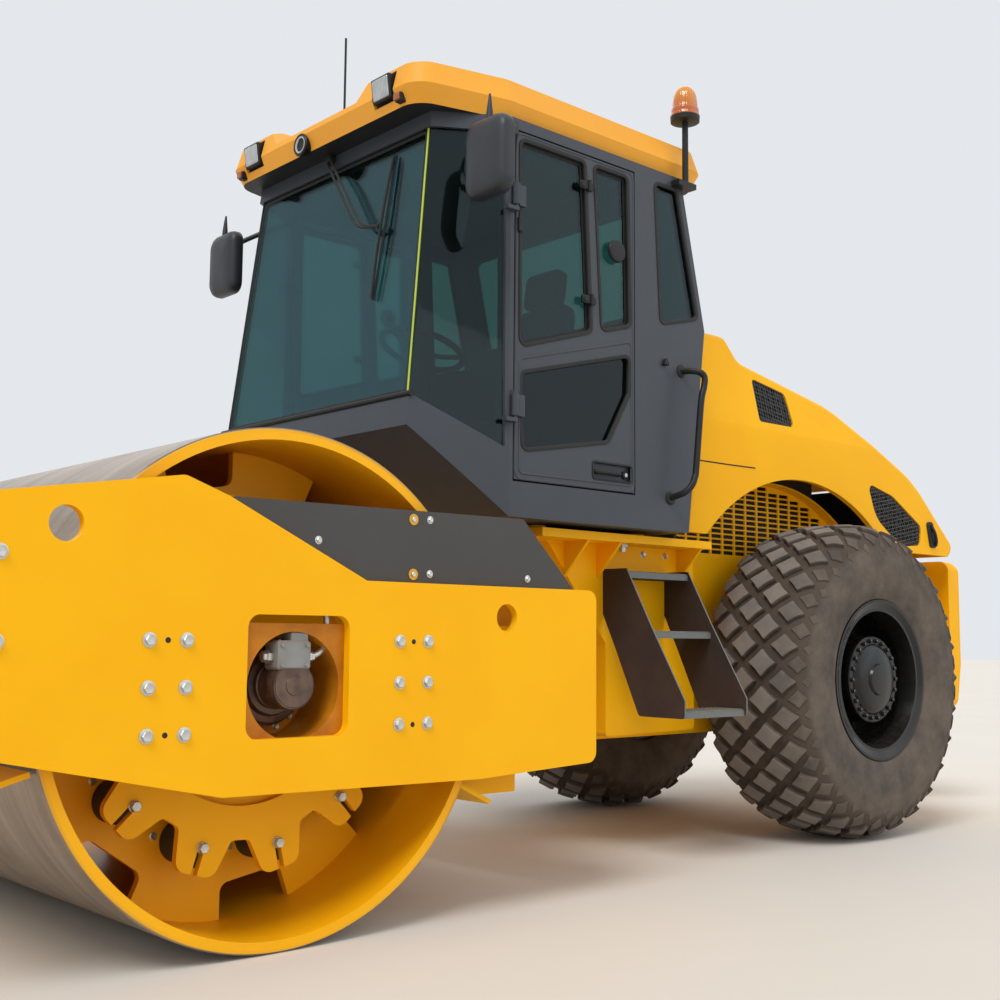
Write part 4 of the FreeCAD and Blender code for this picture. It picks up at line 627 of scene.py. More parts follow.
def tyreAt(at, angle, s, lift):
    # a point on the tyre: the profile at s, lifted along its normal, turned by the angle about the axle
    y, r, ny, nr = at(s)
    out = r + lift * nr
    x, yMiddle, z = tyre["centre"]
    return np.stack([x + out * np.sin(angle), yMiddle + y + lift * ny, z - out * np.cos(angle)], -1)


def makeTyre():
    at, end = tyreSurface()
    # carcass: rings at even arc steps, a raised rib by the rim and two fine ones on the wall, then the bead inside
    s = np.concatenate([np.linspace(-end, end, 85)])
    ribs = sum(h * np.exp(-((np.abs(s) - c) / w) ** 2) for c, w, h in ((end - 0.045, 0.008, 0.005), (0.52, 0.006, 0.003),
                                                                       (0.385, 0.007, 0.003)))
    angle = np.linspace(0, 2 * np.pi, tyre["columns"], endpoint=False)
    sheet = tyreAt(at, angle[None], s[:, None], ribs[:, None] + 0 * angle[None])
    x, yMiddle, z = tyre["centre"]
    bead = np.array(tyre["bead"] + [(-y, r) for y, r in reversed(tyre["bead"])])
    inside = np.stack([x + bead[:, 1:] * np.sin(angle), yMiddle + bead[:, :1] + 0 * angle, z - bead[:, 1:] * np.cos(angle)], -1)
    carcass = grid(np.concatenate([sheet, inside]), wrapU=True, wrapV=True)
    # the tread between the lugs is marked low, so it takes the darker groove colour, partly earth and partly painted
    # shade
    tread = np.where(np.abs(s) < 0.30, 0.0, np.clip((np.abs(s) - 0.30) / 0.05, 0, 1) * 0.6)
    carcassHeight = np.concatenate([np.repeat(tread, len(angle)), np.full(len(bead) * len(angle), 0.6)])
    # lugs: a four-pointed outline with blunt tips and hollow sides, sunk in the carcass, bevelled to a flat top
    t = np.linspace(0, 2 * np.pi, 32, endpoint=False)
    power = 0.80
    reach = 1 / (np.abs(np.cos(t)) ** power + np.abs(np.sin(t)) ** power) ** (1 / power)
    u = np.clip(reach * np.cos(t), -0.88, 0.88) * tyre["halfRound"]
    v = np.clip(reach * np.sin(t), -0.88, 0.88) * tyre["halfAcross"]
    # each lug's lowest rings are marked low, so its foot takes the darker groove colour, partly painted shade
    rings = [(1.08, -0.1, 0.0), (1.05, 0.3, 0.2), (1.02, 0.9, 0.85), (0.96, 1.0, 1.0), (0.5, 1.0, 1.0), (0.0, 1.0, 1.0)]
    share, raised, worn = np.array(rings).T[:, :, None]
    parts, heights = [carcass], [carcassHeight]
    for row in range(-4, 5):
        middle = np.sign(row) * tyre["rows"]["middle"][abs(row)]
        size = share * tyre["rows"]["size"][abs(row)]
        turn = (np.arange(tyre["lugsRound"]) + (0.5 if row % 2 else 0.0)) * 2 * np.pi / tyre["lugsRound"]
        across = middle + size * v
        radius = np.interp(np.abs(across), [0, 0.2, 0.3, 0.4, 0.5], [0.758, 0.742, 0.70, 0.62, 0.53])
        around = turn[:, None, None] + (size * u / radius)[None]
        lift = raised * tyre["lugHeight"] * tyre["rows"]["height"][abs(row)] + 0 * u
        points = tyreAt(at, around, across[None] + 0 * around, lift[None] + 0 * around)
        parts += [grid(lug, wrapV=True) for lug in points]
        heights.append(np.tile(np.repeat(worn * tyre["rows"]["worn"][abs(row)], len(u)), len(turn)))
    return gather(parts), np.concatenate(heights)


shape, heights = makeTyre()
for side in ("left", "right"):
    placed = shape if side == "left" else flipped(shape)
    makePiece("lugged_tyre_" + side, placed, tyreRubber, "wheel_" + side, ["tyre_" + side], 40, heights)
print("tyres made")

# bolts: a washer, a chamfered hexagon and a shallow crown, few faces each as there are many


def boltHead(radius, tall, washer=1.35):
    t = np.linspace(0, 2 * np.pi, 6, endpoint=False)
    flange = turned([(0, 0), (0, radius * washer), (tall * 0.16, radius * washer), (tall * 0.2, radius * washer * 0.93), (tall * 0.2, 0)], 12)
    rings = [(0, tall * 0.2), (1, tall * 0.2), (1, tall * 0.86), (0.86, tall), (0.5, tall * 0.94), (0, tall * 0.94)]
    points = np.array([[(radius * k * np.cos(a), radius * k * np.sin(a), h) for a in t] for k, h in rings])
    return gather([flange, grid(points, wrapV=True)])


plateBolts = {"face": 1.137, "radius": 0.0165, "tall": 0.013, "columns": ((2.418, 2.302), (1.538, 1.421)),
              "rows": (0.937, 0.803, 0.670), "beam": ((2.846, 1.164), (2.966, 1.164), (2.846, 0.930), (2.966, 0.930)),
              "holes": ((2.361, 0.937), (2.361, 0.671), (1.481, 0.936), (1.481, 0.668)), "holeRadius": 0.0075}
spots = [(x, z) for group in plateBolts["columns"] for x in group for z in plateBolts["rows"]] + list(plateBolts["beam"])
head = boltHead(plateBolts["radius"], plateBolts["tall"])
onPlate = pointed(head, [(x, plateBolts["face"], z) for x, z in spots], (0, 1, 0))
makePiece("side_plate_bolts", pair(onPlate), zincPlate, "front_frame")
# black discs over the dowel holes: painted shade standing in for the holes' dark inside
dimple = turned([(0.0006, 0), (0.0006, 0.6), (0.0012, 1.0), (0, 1.15), (-0.001, 1.0), (-0.001, 0)], 16)
dimple = (dimple[0] * (plateBolts["holeRadius"], plateBolts["holeRadius"], 1), dimple[1])
makePiece("dowel_holes", pair(pointed(dimple, [(x, plateBolts["face"], z) for x, z in plateBolts["holes"]], (0, 1, 0))),
          sealRubber, "front_frame")

guardBolts = {"face": 1.107, "silver": ((1.843, 1.251), (1.396, 1.344), (1.395, 1.162), (0.945, 1.162)),
              "brass": ((1.467, 1.341), (1.466, 1.158))}
head = boltHead(0.009, 0.008, 1.5)
onGuard = pointed(head, [(x, guardBolts["face"], z) for x, z in guardBolts["silver"]], (0, 1, 0))
inner = pointed(head, [(x, guardBolts["face"], z) for x, z in guardBolts["brass"]], (0, 1, 0))
rings = pointed(turned([(0, 0), (0, 0.019), (0.003, 0.019), (0.003, 0)], 20),
                [(x, guardBolts["face"], z) for x, z in guardBolts["brass"]], (0, 1, 0))
makePiece("guard_bolts", pair(gather([onGuard, inner])), zincPlate, "front_frame")
makePiece("guard_washers", pair(rings), yellowZinc, "front_frame")

# drum: bolts through the lobed plates, one at the foot of each slot, and those of the buffers' feet on the web
drum = {"axle": (1.920, 0.800), "lobes": 12, "first": 17, "boltRadius": 0.524, "face": 0.850, "webFace": 0.700,
        "webBolt": 0.534, "webTurn": 9.85}
turn = np.radians(drum["first"] + 30 * np.arange(drum["lobes"]))
around = lambda r, a, y: np.stack([drum["axle"][0] + r * np.cos(a), np.full_like(a, y), drum["axle"][1] + r * np.sin(a)], -1)
head = boltHead(0.0175, 0.020, 1.08)
lobeBolts = pointed(head, around(drum["boltRadius"], turn, drum["face"]), (0, 1, 0))
webBolts = pointed(boltHead(0.010, 0.009), around(drum["webBolt"], turn + np.radians(drum["webTurn"]), drum["webFace"]), (0, 1, 0))
makePiece("drive_plate_bolts", pair(gather([lobeBolts, webBolts])), zincPlate, "drum")
print("bolts made")

# travel motor seen through the side plate's window
motor = {"x": 1.920, "z": 0.800, "coverFace": 0.965, "ringFace": 0.920, "ringRadius": 0.1455, "ringBolts": 16,
         "body": 0.062, "bodyEnd": 1.092, "pipe": 0.011}
ringTurn = np.arange(motor["ringBolts"]) * 2 * np.pi / motor["ringBolts"]
ringSpots = np.stack([motor["x"] + motor["ringRadius"] * np.cos(ringTurn), np.full(len(ringTurn), motor["ringFace"]),
                      motor["z"] + motor["ringRadius"] * np.sin(ringTurn)], -1)
makePiece("motor_ring_bolts", pair(pointed(boltHead(0.0095, 0.009, 1.15), ringSpots, (0, 1, 0))), zincPlate, "front_frame")
axleAt = (motor["x"], 0, motor["z"])
dish = turned([(0.946, 0), (0.946, 0.128), (0.962, 0.128), (0.972, 0.118), (0.975, 0.100), (0.992, 0.092), (0.995, 0.074), (0.995, 0)], 48)
makePiece("motor_cover_dish", pair(pointed(dish, [axleAt], (0, 1, 0))), oiledCasting, "front_frame")
barrel = turned([(0.99, 0), (0.99, 0.076), (1.012, 0.076), (1.016, 0.070), (1.045, 0.070), (1.049, 0.0735), (1.092, 0.0735),
                 (1.1085, 0.066), (1.1085, 0.03), (1.112, 0.028), (1.112, 0)], 40)
makePiece("motor_body", pair(pointed(barrel, [axleAt], (0, 1, 0))), oiledCasting, "front_frame")
# port block over the motor, a lug on its top, a capped port each side and the steel pipe that rises from the rear one
ports = gather([
    box((1.862, 1.034, 0.848), (1.984, 1.112, 0.938), 0.008),
    box((1.868, 1.050, 0.930), (1.932, 1.104, 0.966), 0.006),
    pointed(boltHead(0.007, 0.007, 1.2), [(x, 1.112, z) for x in (1.878, 1.968) for z in (0.862, 0.924)], (0, 1, 0)),
])
makePiece("motor_ports", pair(ports), machineryEnamel, "front_frame")
pipeLine = eased([(1.866, 1.072, 0.888), (1.836, 1.072, 0.889), (1.806, 1.073, 0.902), (1.782, 1.074, 0.934),
                  (1.781, 1.074, 0.975), (1.786, 1.072, 1.060)], 8)
fitting = turned([(0, 0), (0, 0.021), (0.018, 0.021), (0.021, 0.017), (0.030, 0.017), (0.033, 0.013), (0.033, 0)], 6)
nuts = gather([pointed(fitting, [(1.862, 1.072, 0.888)], (-1, 0, 0)), pointed(fitting, [(1.984, 1.072, 0.888)], (1, 0, 0)),
               pointed(turned([(0, 0), (0, 0.017), (0.02, 0.017), (0.02, 0)], 6), [(1.781, 1.074, 0.950)], (0, 0, 1))])
makePiece("motor_pipe", pair(gather([swept(pipeLine, motor["pipe"], (0, 1, 0), 16), nuts])), zincPlate, "front_frame")
print("travel motors dressed")

# wheels: the cast final-drive casing that stands out from each disc, the bolts round its cover, wheel nuts, a valve
hub = {"x": -1.480, "z": 0.765, "boltFace": 0.9895, "boltRing": 0.187, "bolts": 22, "disc": 0.7645, "nutRing": 0.262, "nuts": 12,
       "casing": [(0.765, 0), (0.765, 0.222), (0.775, 0.215), (0.945, 0.204), (0.955, 0.209), (0.985, 0.209),
                  (0.9895, 0.204), (0.9895, 0.172), (1.000, 0.165), (1.012, 0.140), (1.016, 0.078), (1.027, 0.072),
                  (1.030, 0.045), (1.030, 0)]}
circle = lambda r, y, n: np.array([(hub["x"] + r * math.cos(t), y, hub["z"] + r * math.sin(t))
                                   for t in np.arange(n) * 2 * np.pi / n])
casing = pointed(turned(hub["casing"], 56), [(hub["x"], 0, hub["z"])], (0, 1, 0))
bolts = pointed(boltHead(0.0105, 0.014, 1.2), circle(hub["boltRing"], hub["boltFace"], hub["bolts"]), (0, 1, 0))
discNuts = pointed(boltHead(0.014, 0.020, 1.25), circle(hub["nutRing"], hub["disc"], hub["nuts"]), (0, 1, 0))
valve = swept(eased([(hub["x"] + 0.300, 0.770, hub["z"] + 0.03), (hub["x"] + 0.296, 0.80, hub["z"] + 0.03),
                     (hub["x"] + 0.280, 0.83, hub["z"] + 0.028)]), 0.0045)
wheelTrim = gather([casing, bolts, discNuts, valve])
for side, placed in (("left", wheelTrim), ("right", flipped(wheelTrim))):
    makePiece("final_drive_" + side, placed, rimEnamel, "wheel_" + side)
print("hubs dressed")

# cab: rubber round every pane, hinges, handle, wipers

panes = {"front": [(0.720, 2.950, 0.03), (0.350, 2.950, 0.025), (0.310, 2.225, 0.03), (0.715, 2.100, 0.03)],
         "rear": [(0.295, 2.950, 0.025), (0.085, 2.950, 0.025), (0.070, 2.290, 0.03), (0.248, 2.240, 0.025)],
         "low": [(0.710, 1.995, 0.03), (0.074, 2.160, 0.025), (0.080, 1.990, 0.03), (0.210, 1.770, 0.04), (0.700, 1.685, 0.03)],
         "quarter": [(-0.092, 2.970, 0.025), (-0.242, 2.970, 0.025), (-0.380, 2.400, 0.025), (-0.128, 2.335, 0.025)]}
lipProfile = [(0.004, -0.006), (0.009, -0.0005), (0.008, 0.0035), (0.002, 0.0045), (-0.007, 0.002), (-0.009, -0.004), (-0.006, -0.014)]
for side, s in (("left", 1), ("right", -1)):
    seals = gather([banded(rounded(panes[key]), lipProfile, onSide(0.810, s)) for key in ("front", "rear", "low")])
    makePiece("door_seals_" + side, seals, sealRubber, "door_" + side)
    # black band baked along the edge of each pane
    frits = gather([banded(rounded(panes[key]), [(0, 0), (0, 0.0012), (-0.020, 0.0012), (-0.020, 0)], onSide(0.7945, s))
                    for key in ("front", "rear")])
    makePiece("door_glass_bands_" + side, frits, sealRubber, "door_" + side)
makePiece("quarter_seals", gather([banded(rounded(panes["quarter"]), lipProfile, onSide(0.810, s)) for s in (1, -1)]),
          sealRubber, "rear_frame")
# pressed bead that frames the door's panel below the glass, and the bead round the whole door
door = {"outline": [(0.738, 2.972, 0.03), (0.052, 2.972, 0.03), (0.052, 1.572, 0.03), (0.738, 1.572, 0.03)],
        "panel": [(0.716, 2.050, 0.02), (0.064, 2.222, 0.02), (0.064, 1.598, 0.02), (0.716, 1.594, 0.02)],
        "beadOut": 0.003}
bead = [(0.006, -0.001), (0.003, door["beadOut"]), (-0.003, door["beadOut"]), (-0.006, -0.001), (0, -0.003)]
for side, s in (("left", 1), ("right", -1)):
    edging = gather([banded(rounded(door[key]), bead, onSide(0.810, s)) for key in ("outline", "panel")])
    makePiece("door_edge_bead_" + side, edging, cabEnamel, "door_" + side)

# corner seam: gasket that runs up between the windscreen and the corner pane
glass = {"foot": 1.420, "frontFoot": 1.220, "frontLean": 0.1118, "halfFoot": 0.6835, "halfLean": 0.0447, "inset": 0.012,
         "low": 1.872, "high": 2.962}


def onGlass(y, z, proud=0.0):
    # a point on the windscreen's outer face, which leans back as it rises
    return (glass["frontFoot"] - glass["frontLean"] * (z - glass["foot"]) - glass["inset"] + proud, y, z)


edgeY = lambda z: glass["halfFoot"] - glass["halfLean"] * (z - glass["foot"])
seam = np.array([onGlass(edgeY(z), z, 0.001) for z in np.linspace(glass["low"], glass["high"], 24)])
gasket = swept(seam, 0.0045, (1, 0, 0), 10)
makePiece("corner_gasket_left", gasket, limeRubber, "rear_frame")
makePiece("corner_gasket_right", flipped(gasket), sealRubber, "rear_frame")
# black band baked on the windscreen's edge, and the rubber sill under it
loop = rounded([(-edgeY(glass["low"]), glass["low"], 0.03), (edgeY(glass["low"]), glass["low"], 0.03),
                (edgeY(glass["high"]), glass["high"], 0.03), (-edgeY(glass["high"]), glass["high"], 0.03)], 6)
frit = banded(loop, [(-0.004, -0.001), (-0.004, 0.0012), (-0.018, 0.0012), (-0.018, -0.001)],
              onFront(glass["frontFoot"] - glass["inset"], glass["frontLean"], glass["foot"]))
makePiece("windscreen_edge_band", frit, sealRubber, "rear_frame")
sill = swept(np.array([onGlass(y, glass["low"] - 0.004, 0.010) for y in np.linspace(-0.70, 0.70, 12)]), 0.012, (0, 0, 1), 10)
makePiece("windscreen_sill", sill, sealRubber, "rear_frame")

# window hinges, latch, knob and lock on the doors
fitting = {"hinges": ((0.335, 2.846), (0.320, 2.357)), "latch": (0.724, 2.592), "knob": (0.158, 2.602), "recess": (0.065, 0.300, 1.611, 1.680)}


def doorHardware(s):
    parts = []
    for x, z in fitting["hinges"]:
        plate = rounded([(x - 0.030, z - 0.017, 0.008), (x + 0.052, z - 0.017, 0.008), (x + 0.052, z + 0.017, 0.008), (x - 0.030, z + 0.017, 0.008)])
        parts.append(filled(plate, [(-0.002, -0.004), (0, 0), (0, 0.008), (-0.004, 0.011)], onSide(0.810, s)))
        barrel = pointed(turned([(-0.024, 0), (-0.024, 0.008), (0.024, 0.008), (0.024, 0)], 14), [(x - 0.002, s * 0.822, z)], (0, 0, 1))
        parts.append(barrel)
        parts.append(pointed(turned([(0, 0), (0, 0.013), (0.004, 0.012), (0.006, 0)], 16), [(x + 0.034, s * 0.820, z)], (0, s, 0)))
    x, z = fitting["latch"]
    plate = rounded([(x - 0.012, z - 0.030, 0.006), (x + 0.012, z - 0.030, 0.006), (x + 0.012, z + 0.030, 0.006), (x - 0.012, z + 0.030, 0.006)])
    parts.append(filled(plate, [(-0.002, -0.004), (0, 0), (0, 0.010), (-0.004, 0.014)], onSide(0.810, s)))
    x, z = fitting["knob"]
    parts.append(pointed(turned([(-0.020, 0), (-0.020, 0.016), (0.002, 0.016), (0.004, 0.046), (0.012, 0.050), (0.020, 0.046), (0.024, 0.030), (0.020, 0)], 28),
                         [(x, s * 0.800, z)], (0, s, 0)))
    x0, x1, z0, z1 = fitting["recess"]
    middle = (z0 + z1) / 2 - 0.004
    pull = eased([(x1 - 0.020, s * 0.794, middle), (x1 - 0.028, s * 0.806, middle), (x1 - 0.060, s * 0.811, middle), (x0 + 0.095, s * 0.811, middle), (x0 + 0.070, s * 0.806, middle), (x0 + 0.062, s * 0.794, middle)], 5)
    parts.append(swept(pull, 0.0095, (0, 0, 1), 12))
    parts.append(pointed(turned([(0, 0), (0, 0.017), (0.008, 0.017), (0.011, 0.014), (0.011, 0)], 24), [(x0 + 0.028, s * 0.793, middle)], (0, s, 0)))
    frameLoop = rounded([(x0, z0, 0.010), (x1, z0, 0.010), (x1, z1, 0.010), (x0, z1, 0.010)])
    parts.append(banded(frameLoop, [(0.006, -0.001), (0.005, 0.003), (-0.002, 0.004), (-0.003, -0.012), (0.001, -0.012)], onSide(0.810, s)))
    return gather(parts)


for side, s in (("left", 1), ("right", -1)):
    makePiece("door_hardware_" + side, doorHardware(s), blackPlastic, "door_" + side)
    x0, x1, z0, z1 = fitting["recess"]
    lock = pointed(turned([(0, 0), (0, 0.008), (0.002, 0.008), (0.002, 0.0045), (0.0005, 0.004), (0.0005, 0)], 18),
                   [(x0 + 0.028, s * 0.804, (z0 + z1) / 2 - 0.004)], (0, s, 0))
    makePiece("door_lock_" + side, lock, zincPlate, "door_" + side)

# wiper: hung under the roof, a pair of rods to the blade
wiper = {"pivot": (-0.046, 3.012), "elbow": (0.259, 2.641), "blade": ((0.417, 2.904), (0.372, 2.296)), "proud": 0.045}
rods = []
for shift in (-0.016, 0.016):
    line = [onGlass(wiper["pivot"][0] + shift, wiper["pivot"][1], 0.040), onGlass(0.10 + shift, 2.84, 0.052), onGlass(wiper["elbow"][0] + shift, wiper["elbow"][1], 0.048),
            onGlass(0.375 + shift * 0.5, 2.600, 0.036)]
    rods.append(swept(eased(line, 6), 0.0055, (1, 0, 0), 10))
(y0, z0), (y1, z1) = wiper["blade"]
spine = [onGlass(y0, z0, 0.016), onGlass((2 * y0 + y1) / 3, (2 * z0 + z1) / 3, 0.026), onGlass((y0 + 2 * y1) / 3, (z0 + 2 * z1) / 3, 0.026), onGlass(y1, z1, 0.016)]
rods.append(swept(eased(spine, 8), np.concatenate([[0.002], np.full(23, 0.006), [0.002]]), (1, 0, 0), 8))
edge = [onGlass(y0, z0, 0.005), onGlass(y1, z1, 0.005)]
rods.append(swept(np.linspace(edge[0], edge[1], 12), 0.0055, (0, 1, 0), 8))
rods.append(pointed(turned([(-0.03, 0), (-0.03, 0.024), (0.012, 0.024), (0.018, 0.018), (0.018, 0)], 20), [onGlass(*wiper["pivot"], 0.030)], (1, 0, 0.11)))
rods.append(pointed(turned([(0, 0), (0, 0.010), (0.022, 0.010), (0.022, 0)], 12), [onGlass(0.385, 2.600, 0.018)], (1, 0, 0.11)))
makePiece("wiper", gather(rods), sealRubber, "rear_frame")
print("cab trimmed")

# roof: boxed work lamps, small turn lamps and the round port
lamp = {"y": 0.490, "z": 3.122, "face": 1.160, "tilt": 0.1405, "housing": (0.060, 0.050), "glass": (0.052, 0.041)}
aroundLamp = lambda half: rounded([(lamp["y"] + a * half[0], lamp["z"] + b * half[1], 0.008)
                                   for a, b in ((-1, -1), (1, -1), (1, 1), (-1, 1))])
lampFace = onFront(lamp["face"], -lamp["tilt"], lamp["z"])
housing = filled(aroundLamp(lamp["housing"]), [(-0.004, -0.06), (0, -0.055), (0, 0.022), (-0.004, 0.027)], lampFace)
makePiece("lamp_housings", pair(housing), blackPlastic, "rear_frame")
pane = filled(aroundLamp(lamp["glass"]), [(-0.003, 0.020), (0, 0.022), (0, 0.028), (-0.004, 0.0305)], lampFace)
makePiece("lamp_glasses", pair(pane), lampGlass, "rear_frame")
port = {"y": -0.094, "z": 3.060, "x": 1.170}
disc = turned([(-0.02, 0), (-0.02, 0.046), (0.010, 0.050), (0.015, 0.046), (0.013, 0.036), (0.006, 0.030), (0.006, 0)], 32)
makePiece("roof_port", pointed(disc, [(port["x"], port["y"], port["z"])], (1, 0, 0)), blackPlastic, "rear_frame")
ring = turned([(0.008, 0.0285), (0.0125, 0.030), (0.0145, 0.034), (0.0125, 0.038), (0.008, 0.0395), (0.004, 0.034)], 32)
ringPoints, ringQuads = ring
makePiece("roof_port_ring", pointed(grid(ringPoints.reshape(6, 32, 3), wrapU=True, wrapV=True), [(port["x"], port["y"], port["z"])], (1, 0, 0)),
          zincPlate, "rear_frame")


turnLamp = box((1.130, 0.574, 3.039), (1.182, 0.613, 3.077), 0.005)
makePiece("turn_lamp_housings", pair(turnLamp), blackPlastic, "rear_frame")
loop = rounded([(0.577, 3.042, 0.006), (0.610, 3.042, 0.006), (0.610, 3.074, 0.006), (0.577, 3.074, 0.006)])
lens = filled(loop, [(-0.003, -0.004), (0, 0), (0, 0.005), (-0.003, 0.008)], onFront(1.182))
makePiece("turn_lamp_lenses", pair(lens), brownLens, "rear_frame")
coil = turned([(3.124, 0), (3.124, 0.017), (3.150, 0.014), (3.158, 0.008), (3.200, 0.0065), (3.200, 0)], 20)
makePiece("aerial_base", pointed(coil, [(1.020, 0, 0)], (0, 0, 1)), sealRubber, "rear_frame")

# beacon dome: base ring, straight ribbed wall, rounded crown
dome = {"x": -0.265, "y": 0.842, "z": 3.305}
profile = eased([(0, 0), (0.001, 0.063), (0.020, 0.064), (0.038, 0.0632), (0.050, 0.059), (0.100, 0.0525), (0.128, 0.041),
                 (0.145, 0.022), (0.150, 0)], 4)
makePiece("beacon_dome", pointed(turned(profile, 48), [(dome["x"], dome["y"], dome["z"])], (0, 0, 1)), amber, "rear_frame", ["beacon"])
collar = turned([(-0.022, 0), (-0.022, 0.040), (-0.018, 0.0655), (0.004, 0.0665), (0.006, 0.060), (0.006, 0)], 40)
makePiece("beacon_collar", pointed(collar, [(dome["x"], dome["y"], dome["z"])], (0, 0, 1)), blackPlastic, "rear_frame")

# mirrors: moulded shell with a crowned back, glass on its rear, a tubular arm up to the cab's corner and a fin on top
mirror = {"face": 1.000, "y": (0.856, 1.088), "z": (2.594, 2.900), "pillar": (0.765, 2.985),
          "crown": [(0, 0.004), (0.90, 0.004), (0.97, 0), (1.0, 0.006), (1.0, 0.030), (0.965, 0.046), (0.89, 0.057),
                    (0.72, 0.066), (0.4, 0.070), (0, 0.071)],
          "arm": [(0.765, 0.812, 2.985), (0.800, 0.855, 2.965), (0.880, 0.920, 2.920), (0.960, 0.960, 2.870), (1.025, 0.972, 2.820)]}
(y0, y1), (z0, z1) = mirror["y"], mirror["z"]
shell = crowned(rounded([(y0, z0, 0.050), (y1, z0, 0.060), (y1, z1, 0.060), (y0, z1, 0.050)], 8), mirror["crown"], onFront(mirror["face"]))
arm = swept(eased(mirror["arm"], 6), 0.012, (0.3, 0.2, 1), 14)
x, z = mirror["pillar"]
foot = filled(rounded([(x + a, z + b, 0.01) for a, b in ((-0.025, -0.028), (0.025, -0.028), (0.025, 0.028), (-0.025, 0.028))]),
              [(0, 0), (0, 0.010), (-0.003, 0.013)], onSide(0.810, 1))
fin = swept([(1.034, 0.9775, 2.885), (1.034, 0.9775, 2.915), (1.033, 0.977, 2.960), (1.032, 0.976, 2.992)], [0.015, 0.013, 0.008, 0.004], (1, 0, 0), 14)
makePiece("mirror_housings", pair(gather([shell, arm, foot, fin])), slatePlastic, "rear_frame", ["mirrors"], 40)
loop = rounded([(y0 + 0.014, z0 + 0.014, 0.038), (y1 - 0.014, z0 + 0.014, 0.048), (y1 - 0.014, z1 - 0.014, 0.048), (y0 + 0.014, z1 - 0.014, 0.038)], 8)
silvering = filled(loop, [(-0.002, 0.006), (0, 0.004), (0, 0), (-0.002, -0.002)], onFront(mirror["face"]))
makePiece("mirror_glasses", pair(silvering), mirrorFilm, "rear_frame")

# handrails: one bent tube each with round feet, and the small peg beside its top
rail = [(-0.265, 0.806, 2.142), (-0.280, 0.860, 2.138), (-0.300, 0.893, 2.128), (-0.312, 0.905, 2.105), (-0.306, 0.905, 2.060),
        (-0.285, 0.905, 1.984), (-0.250, 0.905, 1.700), (-0.240, 0.905, 1.655), (-0.222, 0.900, 1.615), (-0.200, 0.875, 1.585),
        (-0.185, 0.806, 1.565)]
base = turned([(0, 0), (0, 0.030), (0.006, 0.030), (0.010, 0.026), (0.012, 0.018), (0.012, 0)], 24)
feet = pointed(base, [(-0.265, 0.808, 2.142), (-0.185, 0.808, 1.565)], (0, 1, 0))
makePiece("bent_handrails", pair(gather([swept(eased(rail, 5), 0.0145, (0.4, 0.3, 0.87), 16), feet])), blackPlastic,
          "rear_frame", ["handrails"])
peg = filled(rounded([(-0.167, 2.150, 0.003), (-0.131, 2.150, 0.003), (-0.149, 2.184, 0.003)]),
             [(-0.001, -0.002), (0, 0), (0, 0.018), (-0.003, 0.021)], onSide(0.810, 1))
makePiece("rail_pegs", pair(peg), blackPlastic, "rear_frame")
print("roof, mirrors and rails dressed")

# steps: serrated bars on each tread
treads = {"x": (-0.430, -0.032), "levels": ((1.240, 0.560, 0.700), (0.980, 0.690, 0.830), (0.650, 0.850, 1.010)), "bars": 14}
parts = []
for z, inner, outer in treads["levels"]:
    for x in np.linspace(treads["x"][0] + 0.012, treads["x"][1] - 0.012, treads["bars"]):
        parts.append(box((x - 0.004, inner + 0.006, z - 0.002), (x + 0.004, outer - 0.002, z + 0.006), 0.0015))
    for y in (inner + 0.008, (inner + outer) / 2, outer - 0.006):
        parts.append(box((treads["x"][0], y - 0.004, z - 0.003), (treads["x"][1], y + 0.004, z + 0.0045), 0.0015))
makePiece("tread_gratings", pair(gather(parts)), gratingSteel, "rear_frame")

# bolts on the chassis' side box, the cab mount's boss under the deck, hood latches and hood seams
side = {"face": 0.560, "z": 1.333, "x": (-0.607, -0.436, -0.284)}
sideBolts = pointed(boltHead(0.012, 0.011), [(x, side["face"], side["z"]) for x in side["x"]], (0, 1, 0))
boss = turned([(0, 0), (0, 0.029), (0.012, 0.029), (0.015, 0.018), (0.034, 0.016), (0.034, 0)], 20)
mount = pointed(boss, [(-0.084, 0.620, 1.366)], (0, 0, -1))
makePiece("frame_bolts", pair(gather([sideBolts, mount])), zincPlate, "rear_frame")
hood ={"side": 0.650, "seam": [(-0.575, 1.788), (-0.80, 1.7885), (-1.009, 1.791)], "latch": (-2.655, 1.560)}
line = eased(hood["seam"], 8)
seam = swept(np.stack([line[:, 0], np.full(len(line), hood["side"] - 0.0005), line[:, 1]], -1), 0.0035, (0, 0, 1), 8)
makePiece("hood_seams", pair(seam), sealRubber, "hood")
x, z = hood["latch"]
loop = rounded([(x - 0.055, z - 0.075, 0.02), (x + 0.020, z - 0.075, 0.02), (x + 0.055, z + 0.070, 0.02), (x - 0.010, z + 0.075, 0.02)])
latch = filled(loop, [(-0.004, -0.004), (0, 0), (0, 0.010), (-0.006, 0.016), (-0.018, 0.018)], onSide(0.645, 1))
strap = swept(eased([(x + 0.020, 0.662, z + 0.055), (x + 0.005, 0.676, z + 0.01), (x - 0.012, 0.676, z - 0.035), (x - 0.025, 0.664, z - 0.062)], 5), 0.009, (0, 1, 0), 12)
makePiece("hood_latches", pair(gather([latch, strap])), sealRubber, "hood")

